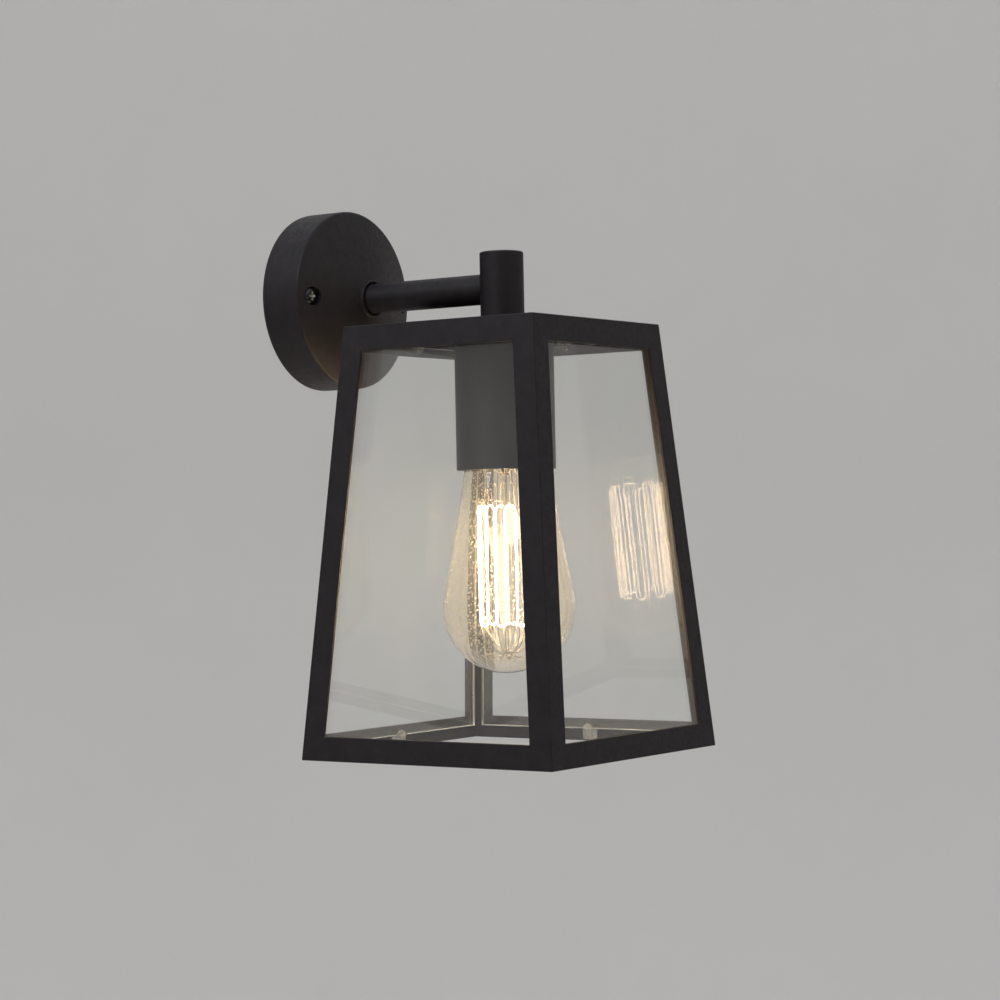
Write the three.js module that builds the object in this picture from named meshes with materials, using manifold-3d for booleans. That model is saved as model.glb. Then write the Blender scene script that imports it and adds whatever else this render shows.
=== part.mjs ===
// An outdoor wall lantern: wall canopy, arm, post and a glazed square cage with a filament lamp.
// Millimetres, +Z up. The origin is on the wall at the middle of the canopy, the lantern projects
// towards -Y, and X runs along the wall.
import * as THREE from "three";
import { mergeVertices } from "three/addons/utils/BufferGeometryUtils.js";
import Module from "manifold-3d";

const wasm = await Module();
wasm.setup();

// ---------------------------------------------------------------- driving dimensions

const PROJECTION = 118.4; // wall to lantern axis
const FIT = 0.3; // clearance between assembled pieces

const CAGE = {
  height: 215.4,
  halfBottom: 75,
  halfTop: 57.2,
  legWidth: 12.5,
  topRail: 13,
  bottomRail: 12,
  sheet: 2,
  seam: 0.05, // half the gap left at a mitre
  roofSheet: 2,
};
const CAGE_TOP_Z = -18.9; // below the arm's axis
const CAGE_BOTTOM_Z = CAGE_TOP_Z - CAGE.height;
const TAPER = (CAGE.halfBottom - CAGE.halfTop) / CAGE.height;
const SLOPE_ANGLE = Math.atan(TAPER);

const PANE = {
  thickness: 3,
  lap: 5, // how far the glass reaches behind each bar
  offset: 2.15, // from the cage's outer face
};
const CLIP = { width: 6, depth: 1.3, foot: 5.4, tongue: 3 };

const CANOPY = {
  radius: 46.6,
  rimDepth: 23.4,
  coneRise: 12,
  bulge: 0.6, // how far the cone's side stands proud of a straight line
  wall: 2,
  lipRadius: 9.7,
  lipHeight: 1.5,
  mouthRadius: 8.6,
  bossRadius: 12,
  bossRearY: -14,
  skin: 0.6, // how far under the front face the screw bosses end
  gasket: 1.2,
};
const SCREW = {
  offset: 37.8,
  headRadius: 4.3,
  headHeight: 1.9,
  shankRadius: 1.9,
  pocketRadius: 4.8,
  bossRadius: 7.2,
  sealThickness: 0.8,
  pocketY: -23.4,
  bossRearY: -15,
};
const PLATE = {
  radius: 42.6,
  thickness: 2,
  collarRadius: 3.6,
  collarLength: 6,
  slotZ: 37, // above and below the plate's middle
  slotReach: 4, // from a slot's middle to the centre of its round end
  slotRadius: 2.5,
};
const FITTINGS_Y = -PLATE.thickness - 0.1; // where the fittings on the plate start
const CABLE_ENTRY = { z: -24, holeRadius: 5.2 };
const EARTH = { x: 21, z: -17, holeRadius: 2.3 };
const BLOCK = { width: 22, depth: 10, height: 9, z: 27, pitch: 11 };

const ARM = { radius: 7.75, bore: 5.5, tailRadius: 6.4, shoulderY: -22, tailY: -6.5 };
const POST = { radius: 11.1, bore: 9.3, topZ: 18.2, capHeight: 1.6, capSpigot: 4 };
const NIPPLE = { radius: 4.9, bore: 3.6 };

// Heights from here on are measured from the cage's bottom edge.
const CUP = { radius: 24, wall: 1.2, bottomZ: 142.5 };
const HOLDER = { radius: 20.4, bore: 14.9, mouthZ: 158, seatZ: 164, shoulderZ: 195, topZ: 206.6 };
const SHELL = { radius: 14.6, bore: 13.9, floorBore: 6.8, bottomZ: 165.5, topZ: 192.5 };
const LAMP = {
  radius: 32.5,
  tipZ: 40,
  neckRadius: 12.2,
  glass: 0.8,
  capRadius: 13.1,
  capBottomZ: 161,
  capTopZ: 184.6,
  contactZ: 188.6,
};
const FILAMENT = { radius: 13.6, topZ: 124.5, bottomZ: 64, strands: 16, wire: 0.35 };

const ROUND = 36; // facets round a large piece
const SMALL = 20; // facets round a small piece
const CANOPY_FACETS = 40;
const CONE_STEPS = 4;

// ---------------------------------------------------------------- materials

const paint = { color: 0x232124, roughness: 0.6, metalness: 0.35 };
const zinc = { color: 0xb9babb, roughness: 0.4, metalness: 0.9 };
const brass = { color: 0xc9a24f, roughness: 0.35, metalness: 0.9 };
const clearPlastic = { color: 0xd9dad6, roughness: 0.15, metalness: 0 };
const darkSteel = { color: 0x2b2b2c, roughness: 0.4, metalness: 0.8 };
const rubber = { color: 0x161617, roughness: 0.85, metalness: 0 };
const porcelain = { color: 0xe9e6de, roughness: 0.25, metalness: 0 };
const nylon = { color: 0xe4e2da, roughness: 0.5, metalness: 0 };
const clearGlass = { color: 0xf2f4f2, roughness: 0.03, metalness: 0 };
const warmGlass = { color: 0xfff3dc, roughness: 0.04, metalness: 0 };
const hotWire = { color: 0xffb46a, roughness: 0.4, metalness: 0.2 };
const blackGlass = { color: 0x151517, roughness: 0.15, metalness: 0 };
const brownSleeve = { color: 0x6b3f24, roughness: 0.5, metalness: 0 };
const blueSleeve = { color: 0x2c4f86, roughness: 0.5, metalness: 0 };

// ---------------------------------------------------------------- helpers

function toSolid(geometry) {
  const bare = geometry.clone();
  bare.deleteAttribute("normal");
  bare.deleteAttribute("uv");
  const merged = mergeVertices(bare, 1e-4);
  const vertProperties = new Float32Array(merged.attributes.position.array);
  const triVerts = new Uint32Array(merged.index.array);
  return new wasm.Manifold(new wasm.Mesh({ numProp: 3, vertProperties, triVerts }));
}

function toGeometry(solid) {
  const { vertProperties, triVerts } = solid.getMesh();
  const geometry = new THREE.BufferGeometry();
  geometry.setAttribute("position", new THREE.BufferAttribute(new Float32Array(vertProperties), 3));
  geometry.setIndex(new THREE.BufferAttribute(new Uint32Array(triVerts), 1));
  geometry.computeVertexNormals();
  return geometry;
}

function cut(geometry, ...tools) {
  const solid = tools.reduce((left, tool) => left.subtract(toSolid(tool)), toSolid(geometry));
  return toGeometry(solid);
}

function join(...geometries) {
  return toGeometry(geometries.map(toSolid).reduce((sum, solid) => sum.add(solid)));
}

// A turned piece about the Y axis from [radius, y] points.
function turned(profile, facets = ROUND) {
  const points = profile.map(([radius, y]) => new THREE.Vector2(radius, y));
  if (THREE.ShapeUtils.area(points) < 0) points.reverse();
  const closesOnAxis = points[0].x === 0 && points[points.length - 1].x === 0;
  if (!closesOnAxis) points.push(points[0].clone());
  return new THREE.LatheGeometry(points, facets);
}

// The same about the Z axis, from [radius, z] points.
function turnedUpright(profile, facets = ROUND) {
  return turned(profile, facets).rotateX(Math.PI / 2);
}

// A ring or tube about the Y axis.
function ringY(inner, outer, fromY, toY, facets = ROUND) {
  return turned([[inner, fromY], [outer, fromY], [outer, toY], [inner, toY]], facets);
}

function ringZ(inner, outer, fromZ, toZ, facets = ROUND) {
  return turnedUpright([[inner, fromZ], [outer, fromZ], [outer, toZ], [inner, toZ]], facets);
}

function discY(radius, fromY, toY, facets = ROUND) {
  return turned([[0, fromY], [radius, fromY], [radius, toY], [0, toY]], facets);
}

function discZ(radius, fromZ, toZ, facets = ROUND) {
  return turnedUpright([[0, fromZ], [radius, fromZ], [radius, toZ], [0, toZ]], facets);
}

// A hexagonal nut about the Z axis, with its bore.
function nutZ(acrossFlats, bore, fromZ, toZ) {
  const corner = acrossFlats / Math.sqrt(3);
  const blank = new THREE.CylinderGeometry(corner, corner, toZ - fromZ, 6)
    .rotateX(Math.PI / 2)
    .translate(0, 0, (fromZ + toZ) / 2);
  return cut(blank, discZ(bore, fromZ - 1, toZ + 1, SMALL));
}

// A straight round wire between two points.
function rod(from, to, radius, sides = 5) {
  const along = new THREE.Vector3().subVectors(to, from);
  const turn = new THREE.Quaternion().setFromUnitVectors(
    new THREE.Vector3(0, 1, 0),
    along.clone().normalize(),
  );
  const middle = new THREE.Vector3().addVectors(from, to).multiplyScalar(0.5);
  return new THREE.CylinderGeometry(radius, radius, along.length(), sides)
    .applyQuaternion(turn)
    .translate(middle.x, middle.y, middle.z);
}

function box(width, depth, height, x, y, z) {
  return new THREE.BoxGeometry(width, depth, height).translate(x, y, z);
}

function arc(centreR, centreH, radius, fromAngle, toAngle, steps) {
  return Array.from({ length: steps + 1 }, (_, i) => {
    const angle = fromAngle + ((toAngle - fromAngle) * i) / steps;
    return [centreR + radius * Math.cos(angle), centreH + radius * Math.sin(angle)];
  });
}

function piece(name, geometry, finish) {
  const mesh = new THREE.Mesh(geometry, new THREE.MeshStandardMaterial(finish));
  mesh.name = name;
  return mesh;
}

// ---------------------------------------------------------------- wall side

function mountingPlate() {
  const collar = (x) =>
    ringY(
      SCREW.shankRadius + FIT,
      PLATE.collarRadius,
      -PLATE.thickness - PLATE.collarLength,
      -PLATE.thickness + 0.5,
      SMALL,
    ).translate(x, 0, 0);
  const through = (radius, x, z) =>
    discY(radius, -PLATE.thickness - 2, 1, SMALL).translate(x, 0, z);
  const slot = (z) =>
    join(
      box(2 * PLATE.slotReach, 6, 2 * PLATE.slotRadius, 0, -1, z),
      through(PLATE.slotRadius, -PLATE.slotReach, z),
      through(PLATE.slotRadius, PLATE.slotReach, z),
    );
  const disc = cut(
    discY(PLATE.radius, -PLATE.thickness, 0),
    through(SCREW.shankRadius + FIT, -SCREW.offset, 0),
    through(SCREW.shankRadius + FIT, SCREW.offset, 0),
    slot(PLATE.slotZ),
    slot(-PLATE.slotZ),
    through(CABLE_ENTRY.holeRadius, 0, CABLE_ENTRY.z),
    through(EARTH.holeRadius, EARTH.x, EARTH.z),
  );
  return join(disc, collar(-SCREW.offset), collar(SCREW.offset));
}

function cableGrommet() {
  const profile = [
    [3.6, 0],
    [4.9, 0],
    [4.9, FITTINGS_Y],
    [7.2, FITTINGS_Y],
    [6.4, FITTINGS_Y - 2.1],
    [4.4, FITTINGS_Y - 3.3],
    [3.6, FITTINGS_Y - 3.3],
  ];
  return turned(profile, SMALL).translate(0, 0, CABLE_ENTRY.z);
}

function earthScrew() {
  const front = FITTINGS_Y - 3.1;
  const profile = [
    [0, -0.2],
    [2, -0.2],
    [2, FITTINGS_Y],
    [4.2, FITTINGS_Y],
    [4.2, FITTINGS_Y - 1],
    [3.6, FITTINGS_Y - 1.1],
    [3.6, front + 0.6],
    [3, front],
    [0, front],
  ];
  const slot = box(8, 1.6, 0.9, 0, front, 0);
  return cut(turned(profile, SMALL), slot).translate(EARTH.x, 0, EARTH.z);
}

const BLOCK_MIDDLE_Y = FITTINGS_Y - BLOCK.depth / 2;
const BLOCK_FRONT_Y = FITTINGS_Y - BLOCK.depth;

function terminalBlock() {
  const holeRadius = 1.9;
  const body = box(BLOCK.width, BLOCK.depth, BLOCK.height, 0, BLOCK_MIDDLE_Y, BLOCK.z);
  const wireHole = (x) =>
    discZ(holeRadius, BLOCK.z - 6, BLOCK.z + 6, SMALL).translate(x, BLOCK_MIDDLE_Y, 0);
  const screwHole = (x) =>
    discY(holeRadius, BLOCK_FRONT_Y - 1, BLOCK_MIDDLE_Y, SMALL).translate(x, 0, BLOCK.z);
  const waist = box(1.6, 4, BLOCK.height + 2, 0, BLOCK_FRONT_Y, BLOCK.z);
  const tools = [-BLOCK.pitch / 2, BLOCK.pitch / 2].flatMap((x) => [wireHole(x), screwHole(x)]);
  return cut(body, waist, ...tools);
}

function terminalScrew(x) {
  const head = BLOCK_FRONT_Y + 0.6;
  const shaft = discY(1.55, head, head + 2.3, SMALL);
  const slot = box(4, 0.8, 0.6, 0, head, 0);
  return cut(shaft, slot).translate(x, 0, BLOCK.z);
}

function wallGasket() {
  return ringY(CANOPY.radius - 3.2, CANOPY.radius - 0.2, -CANOPY.gasket + 0.05, 0);
}

// ---------------------------------------------------------------- canopy

const CANOPY_FRONT_Y = -CANOPY.rimDepth - CANOPY.coneRise;

// The canopy's front is a shallow cone with a slight bulge, from its rim to the arm's lip.
function coneProfile(shrink, steps) {
  const span = CANOPY.radius - CANOPY.lipRadius;
  return Array.from({ length: steps + 1 }, (_, i) => {
    const t = i / steps;
    const rise = CANOPY.coneRise * t + 4 * CANOPY.bulge * t * (1 - t);
    return [CANOPY.radius - shrink - (span - shrink) * t, -CANOPY.rimDepth - rise + shrink];
  });
}

// All that lies within the canopy's outer faces, set in by a distance.
function canopyCore(inset) {
  return turned(
    [
      [0, -CANOPY.gasket],
      [CANOPY.radius - inset, -CANOPY.gasket],
      ...coneProfile(inset, CONE_STEPS),
      [0, CANOPY_FRONT_Y + inset],
    ],
    CANOPY_FACETS,
  );
}

function canopy() {
  const inside = coneProfile(CANOPY.wall, CONE_STEPS).slice(0, -1);
  const profile = [
    [CANOPY.radius - CANOPY.wall, -CANOPY.gasket],
    [CANOPY.radius, -CANOPY.gasket],
    ...coneProfile(0, CONE_STEPS),
    [CANOPY.lipRadius, CANOPY_FRONT_Y - CANOPY.lipHeight],
    [CANOPY.mouthRadius, CANOPY_FRONT_Y - CANOPY.lipHeight],
    [CANOPY.mouthRadius, CANOPY_FRONT_Y + 1],
    [ARM.radius + FIT, CANOPY_FRONT_Y + 1],
    [ARM.radius + FIT, ARM.shoulderY + 0.05],
    [ARM.tailRadius + FIT, ARM.shoulderY + 0.05],
    [ARM.tailRadius + FIT, CANOPY.bossRearY],
    [CANOPY.bossRadius, CANOPY.bossRearY],
    [CANOPY.bossRadius, CANOPY_FRONT_Y + CANOPY.wall + 1.5],
    ...inside.reverse(),
  ];
  const shell = turned(profile, CANOPY_FACETS);
  const clearOfFront = CANOPY_FRONT_Y - 10;
  const pillar = (x) =>
    discY(SCREW.bossRadius, SCREW.bossRearY, clearOfFront, SMALL).translate(x, 0, 0);
  const core = toSolid(canopyCore(CANOPY.skin));
  const boss = (x) => toGeometry(toSolid(pillar(x)).intersect(core));
  const pocket = (x) =>
    discY(SCREW.pocketRadius, SCREW.pocketY, clearOfFront, SMALL).translate(x, 0, 0);
  const bore = (x) => discY(SCREW.shankRadius + FIT, clearOfFront, 0, SMALL).translate(x, 0, 0);
  return cut(
    join(shell, boss(-SCREW.offset), boss(SCREW.offset)),
    pocket(-SCREW.offset),
    pocket(SCREW.offset),
    bore(-SCREW.offset),
    bore(SCREW.offset),
  );
}

function canopyScrew(x) {
  const seat = SCREW.pocketY - SCREW.sealThickness;
  const front = seat - SCREW.headHeight;
  const profile = [
    [0, -0.6],
    [SCREW.shankRadius, -0.6],
    [SCREW.shankRadius, seat],
    [SCREW.headRadius, seat],
    [SCREW.headRadius, seat - 0.9],
    [SCREW.headRadius - 0.5, front + 0.3],
    [SCREW.headRadius - 1.6, front],
    [0, front],
  ];
  const crossBar = (turn) => box(4.6, 2.4, 1, 0, front, 0).rotateY(turn);
  return cut(turned(profile, SMALL), crossBar(0), crossBar(Math.PI / 2)).translate(x, 0, 0);
}

function screwSeal(x) {
  const from = SCREW.pocketY - SCREW.sealThickness + 0.05;
  return ringY(SCREW.shankRadius + FIT, SCREW.headRadius, from, SCREW.pocketY - 0.05, SMALL)
    .translate(x, 0, 0);
}

// ---------------------------------------------------------------- arm and post

const ARM_END_Y = -PROJECTION + POST.bore - 1;

function armTube() {
  const profile = [
    [ARM.bore, ARM_END_Y],
    [ARM.radius, ARM_END_Y],
    [ARM.radius, ARM.shoulderY],
    [ARM.tailRadius, ARM.shoulderY],
    [ARM.tailRadius, ARM.tailY],
    [ARM.bore, ARM.tailY],
  ];
  return turned(profile, 28);
}

function armWasher() {
  const rear = CANOPY.bossRearY;
  return ringY(ARM.tailRadius + FIT, 10.5, rear + 0.05, rear + 1.3, 24);
}

function armLockNut() {
  const rear = CANOPY.bossRearY + 1.35;
  return nutZ(18, ARM.tailRadius + FIT / 2, -rear - 4, -rear).rotateX(Math.PI / 2);
}

function postTube() {
  const tube = ringZ(POST.bore, POST.radius, CAGE_TOP_Z + 0.05, POST.topZ - POST.capHeight, 32)
    .translate(0, -PROJECTION, 0);
  return cut(tube, discY(ARM.radius + FIT, -PROJECTION, -PROJECTION + 20, 28));
}

function postCap() {
  const seat = POST.topZ - POST.capHeight + 0.05;
  const profile = [
    [0, seat - POST.capSpigot],
    [POST.bore - FIT, seat - POST.capSpigot],
    [POST.bore - FIT, seat],
    [POST.radius, seat],
    [POST.radius, POST.topZ - 0.9],
    [POST.radius - 0.3, POST.topZ - 0.25],
    [POST.radius - 1, POST.topZ],
    [0, POST.topZ],
  ];
  return turnedUpright(profile, 32);
}

function postBush() {
  return ringZ(NIPPLE.radius + FIT, POST.bore - 0.15, CAGE_TOP_Z + 0.1, CAGE_TOP_Z + 8, 24);
}

// ---------------------------------------------------------------- cage

const CAGE_TOP = CAGE.height; // heights in the lantern's own group start at the cage's bottom

// The cage's skin: a square tapered tube with walls one sheet thick, cut up into its bars.
function cageSkin() {
  const frustum = (inset, overshoot) => {
    const top = CAGE.halfTop - inset - TAPER * overshoot;
    const bottom = CAGE.halfBottom - inset + TAPER * overshoot;
    const height = CAGE_TOP + 2 * overshoot;
    const [topCircle, bottomCircle] = [top * Math.SQRT2, bottom * Math.SQRT2];
    return new THREE.CylinderGeometry(topCircle, bottomCircle, height, 4, 1, false, Math.PI / 4)
      .rotateX(Math.PI / 2)
      .translate(0, 0, CAGE_TOP / 2);
  };
  return toSolid(frustum(0, 0)).subtract(toSolid(frustum(CAGE.sheet, 1)));
}

// Keeps what lies on the side of a plane that its normal points to, less half a seam.
function keep(solid, normal, point) {
  const unit = normal.clone().normalize();
  return solid.trimByPlane(unit.toArray(), unit.dot(point) + CAGE.seam);
}

const bottomCorner = new THREE.Vector3(CAGE.halfBottom, -CAGE.halfBottom, 0);
const topCorner = new THREE.Vector3(CAGE.halfTop, -CAGE.halfTop, CAGE_TOP);
const bottomMitre = new THREE.Vector3(
  CAGE.bottomRail, 0, CAGE.legWidth + TAPER * CAGE.bottomRail,
);
const topMitre = new THREE.Vector3(CAGE.topRail, 0, TAPER * CAGE.topRail - CAGE.legWidth);

// Swaps the front face's plane for the right face's, across the corner that they share.
function acrossCorner(normal) {
  return new THREE.Vector3(-normal.y, -normal.x, normal.z);
}

function mirrored(vector) {
  return new THREE.Vector3(-vector.x, vector.y, vector.z);
}

function cornerPost() {
  const innerEdge = new THREE.Vector3(CAGE.halfBottom - CAGE.legWidth, -CAGE.halfBottom, 0);
  const innerEdgeAcross = acrossCorner(innerEdge);
  let post = keep(cageSkin(), new THREE.Vector3(1, 0, TAPER), innerEdge);
  post = keep(post, new THREE.Vector3(0, -1, TAPER), innerEdgeAcross);
  for (const [mitre, corner] of [[bottomMitre, bottomCorner], [topMitre, topCorner]]) {
    post = keep(post, mitre, corner);
    post = keep(post, acrossCorner(mitre), corner);
  }
  return toGeometry(post);
}

function frontRail(mitre, corner, edgeNormal, edgeZ) {
  let rail = keep(cageSkin(), new THREE.Vector3(-1, -1, 0), new THREE.Vector3());
  rail = keep(rail, new THREE.Vector3(1, -1, 0), new THREE.Vector3());
  rail = keep(rail, edgeNormal, new THREE.Vector3(0, 0, edgeZ));
  rail = keep(rail, mitre.clone().negate(), corner);
  rail = keep(rail, mirrored(mitre).negate(), mirrored(corner));
  return toGeometry(rail);
}

function roofPlate() {
  const half = CAGE.halfTop - CAGE.sheet - 0.1;
  const sheet = box(2 * half, 2 * half, CAGE.roofSheet, 0, 0, CAGE_TOP - CAGE.roofSheet / 2);
  return cut(sheet, discZ(NIPPLE.radius + FIT, CAGE_TOP - 5, CAGE_TOP + 5, SMALL));
}

// In a face's own group x runs across, y up the slope from the bottom edge and z outwards.
const FACE_HEIGHT = CAGE_TOP / Math.cos(SLOPE_ANGLE);
const PANE_BOTTOM = CAGE.bottomRail - PANE.lap;
const PANE_TOP = FACE_HEIGHT - CAGE.topRail + PANE.lap;

function glassPane() {
  const halfWidthAt = (y) => CAGE.halfBottom - Math.sin(SLOPE_ANGLE) * y - CAGE.legWidth + PANE.lap;
  const outline = new THREE.Shape([
    new THREE.Vector2(-halfWidthAt(PANE_BOTTOM), PANE_BOTTOM),
    new THREE.Vector2(halfWidthAt(PANE_BOTTOM), PANE_BOTTOM),
    new THREE.Vector2(halfWidthAt(PANE_TOP), PANE_TOP),
    new THREE.Vector2(-halfWidthAt(PANE_TOP), PANE_TOP),
  ]);
  return new THREE.ExtrudeGeometry(outline, { depth: PANE.thickness, bevelEnabled: false })
    .translate(0, 0, -PANE.offset - PANE.thickness);
}

// A moulded clip with a round end: its foot is on the bar and its tongue over the glass.
function glassClip(edgeY, outwards) {
  const barFace = -CAGE.sheet - 0.1;
  const back = -PANE.offset - PANE.thickness - 0.2;
  const y = (distance) => edgeY + outwards * distance;
  const side = new THREE.Shape([
    new THREE.Vector2(barFace, y(0.3)),
    new THREE.Vector2(barFace, y(CLIP.foot)),
    new THREE.Vector2(back - CLIP.depth, y(CLIP.foot)),
    new THREE.Vector2(back - CLIP.depth, y(-CLIP.tongue)),
    new THREE.Vector2(back, y(-CLIP.tongue)),
    new THREE.Vector2(back, y(0.3)),
  ]);
  const half = CLIP.width / 2;
  const deep = 10; // more than the clip's own depth
  const roundEnd = Array.from({ length: 9 }, (_, i) => {
    const angle = (Math.PI * i) / 8;
    return new THREE.Vector2(half * Math.cos(angle), y(half - CLIP.tongue - half * Math.sin(angle)));
  });
  const plan = new THREE.Shape([
    new THREE.Vector2(-half, y(CLIP.foot + 1)),
    new THREE.Vector2(half, y(CLIP.foot + 1)),
    ...roundEnd,
  ]);
  const block = new THREE.ExtrudeGeometry(side, { depth: CLIP.width + 2, bevelEnabled: false })
    .rotateY(-Math.PI / 2)
    .translate(half + 1, 0, 0);
  const tab = new THREE.ExtrudeGeometry(plan, { depth: deep, bevelEnabled: false })
    .translate(0, 0, -deep);
  return toGeometry(toSolid(block).intersect(toSolid(tab)));
}

// ---------------------------------------------------------------- lampholder

const ROOF_UNDERSIDE = CAGE_TOP - CAGE.roofSheet;
const NUT_TOP = ROOF_UNDERSIDE - CUP.wall - 0.2;
const NIPPLE_BOTTOM = 200;

function lampholderCup() {
  const top = ROOF_UNDERSIDE - 0.05;
  return turnedUpright([
    [CUP.radius - CUP.wall, CUP.bottomZ],
    [CUP.radius, CUP.bottomZ],
    [CUP.radius, top - 0.8],
    [CUP.radius - 0.8, top],
    [NIPPLE.radius + FIT, top],
    [NIPPLE.radius + FIT, top - CUP.wall],
    [CUP.radius - CUP.wall, top - CUP.wall],
  ]);
}

function lampholderBody() {
  return turnedUpright([
    [NIPPLE.radius + FIT, HOLDER.topZ],
    [NIPPLE.radius + FIT, HOLDER.shoulderZ],
    [HOLDER.bore, HOLDER.shoulderZ],
    [HOLDER.bore, HOLDER.seatZ],
    [HOLDER.radius - 2, HOLDER.mouthZ + 0.5],
    [HOLDER.radius - 1, HOLDER.mouthZ],
    [HOLDER.radius, HOLDER.mouthZ + 1],
    [HOLDER.radius, HOLDER.topZ - 7.6],
    [HOLDER.radius - 1.8, HOLDER.topZ - 4.6],
    [12, HOLDER.topZ - 2.2],
    [12, HOLDER.topZ],
  ]);
}

// Rounded thread rings on one side of a wall, as radius and height pairs.
function threadWall(minor, major, fromZ, toZ, pitch) {
  const turns = Math.floor((toZ - fromZ) / pitch);
  const roots = Array.from({ length: turns }, (_, i) => fromZ + i * pitch);
  const rings = roots.flatMap((z) => [[minor, z], [major, z + pitch / 2]]);
  return [...rings, [minor, fromZ + turns * pitch]];
}

const THREAD_PITCH = 3.63;
const THREAD_FACETS = 24;

function lampholderShell() {
  const inside = threadWall(SHELL.bore, SHELL.bore - 0.4, 167, 189, THREAD_PITCH);
  const profile = [
    [SHELL.radius, SHELL.bottomZ],
    [SHELL.radius, SHELL.topZ],
    [SHELL.floorBore, SHELL.topZ],
    [SHELL.floorBore, SHELL.topZ - 0.5],
    [SHELL.bore, SHELL.topZ - 0.5],
    ...inside.reverse(),
    [SHELL.bore, SHELL.bottomZ],
  ];
  return turnedUpright(profile, THREAD_FACETS);
}

function lampholderContact() {
  return turnedUpright([
    [0, LAMP.contactZ + FIT],
    [2.6, LAMP.contactZ + FIT],
    [2.6, 193.2],
    [5.6, 193.2],
    [5.6, 194],
    [0, 194],
  ], SMALL);
}

// ---------------------------------------------------------------- lamp

const GLASS_CENTRE_Z = LAMP.tipZ + LAMP.radius;
const GLASS_TAPER = THREE.MathUtils.degToRad(10.3);

// The envelope: a round bottom, a straight taper and a shoulder into the neck, inset for its inside.
function glassProfile(inset, steps) {
  const radius = LAMP.radius - inset;
  const bottom = arc(0, GLASS_CENTRE_Z, radius, -Math.PI / 2, GLASS_TAPER, steps);
  bottom[0][0] = 0;
  const shoulder = new THREE.CubicBezierCurve(
    new THREE.Vector2(20.3 - inset, CUP.bottomZ),
    new THREE.Vector2(19 - inset, 149.6),
    new THREE.Vector2(LAMP.neckRadius - inset, 152),
    new THREE.Vector2(LAMP.neckRadius - inset, LAMP.capBottomZ + 2.6),
  );
  return bottom.concat(shoulder.getPoints(4).map((point) => [point.x, point.y]));
}

function lampGlass() {
  return turnedUpright([...glassProfile(0, 9), ...glassProfile(LAMP.glass, 7).reverse()], 32);
}

function lampStem() {
  return turnedUpright([
    [0, 46.6],
    [1.6, 47.4],
    [1.2, 49.4],
    [1.2, 142],
    [2.6, 144],
    [3.6, 148],
    [3.8, 154],
    [6.5, 159.5],
    [10.8, 162.5],
    [10.8, 163.3],
    [0, 163.3],
  ], 12);
}

const SUPPORTS = FILAMENT.strands / 2;

function polar(radius, angle, z) {
  return new THREE.Vector3(radius * Math.cos(angle), radius * Math.sin(angle), z);
}

// Routes of the support wires, as radius and height pairs from the hub outwards.
const UPPER_ROUTE = [[1.9, 140.5], [9, 143.6], [12.8, 141.5], [13.6, 126.2]];
const LOWER_ROUTE = [[1.9, 50.5], [6.5, 51], [11.2, 55.4], [13.5, 62.4]];

// A hub on the stem's rod, and from it two thin wires to each bend at one end of the filament.
function filamentSupport(route, phase) {
  const hubZ = route[0][1];
  const parts = [ringZ(1.35, 2.3, hubZ - 0.8, hubZ + 0.8, 12)];
  for (let bend = 0; bend < SUPPORTS; bend += 1) {
    for (const side of [-0.14, 0.14]) {
      const angle = ((bend + phase + side) / SUPPORTS) * 2 * Math.PI;
      const points = route.map(([radius, z]) => polar(radius, angle, z));
      points.slice(1).forEach((point, i) => parts.push(rod(points[i], point, 0.26, 4)));
    }
  }
  return join(...parts);
}

// One wire that runs up and down round the cage, open between its last strand and its first.
function lampFilament() {
  const bends = Array.from({ length: FILAMENT.strands }, (_, i) => {
    const z = i % 2 === 0 ? FILAMENT.topZ : FILAMENT.bottomZ;
    return polar(FILAMENT.radius, (i / FILAMENT.strands) * 2 * Math.PI, z);
  });
  const strands = bends.slice(1).map((bend, i) => rod(bends[i], bend, FILAMENT.wire));
  const knees = bends.map((bend) =>
    new THREE.OctahedronGeometry(FILAMENT.wire * 1.6, 0).translate(bend.x, bend.y, bend.z),
  );
  return join(...strands, ...knees);
}

function lampCap() {
  const inner = LAMP.capRadius - 0.25;
  const threads = threadWall(12.6, LAMP.capRadius, 165.4, 183.6, THREAD_PITCH);
  return turnedUpright(
    [
      [inner, LAMP.capBottomZ],
      [LAMP.capRadius + 0.1, LAMP.capBottomZ],
      [LAMP.capRadius + 0.1, 164.4],
      ...threads,
      [11, LAMP.capTopZ],
      [10.2, LAMP.capTopZ],
      [11.4, 182.6],
      [11.6, 164.2],
      [inner, 163.8],
    ],
    THREAD_FACETS,
  );
}

function lampInsulator() {
  return turnedUpright([
    [0, 184],
    [9.6, 184],
    [10, LAMP.capTopZ + 0.4],
    [5.2, 187.3],
    [0, 187.3],
  ], SMALL);
}

function lampContact() {
  return turnedUpright([
    [0, 187.4],
    [4.8, 187.4],
    [4.6, 188],
    [3, LAMP.contactZ],
    [0, LAMP.contactZ],
  ], SMALL);
}

// ---------------------------------------------------------------- wires

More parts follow.
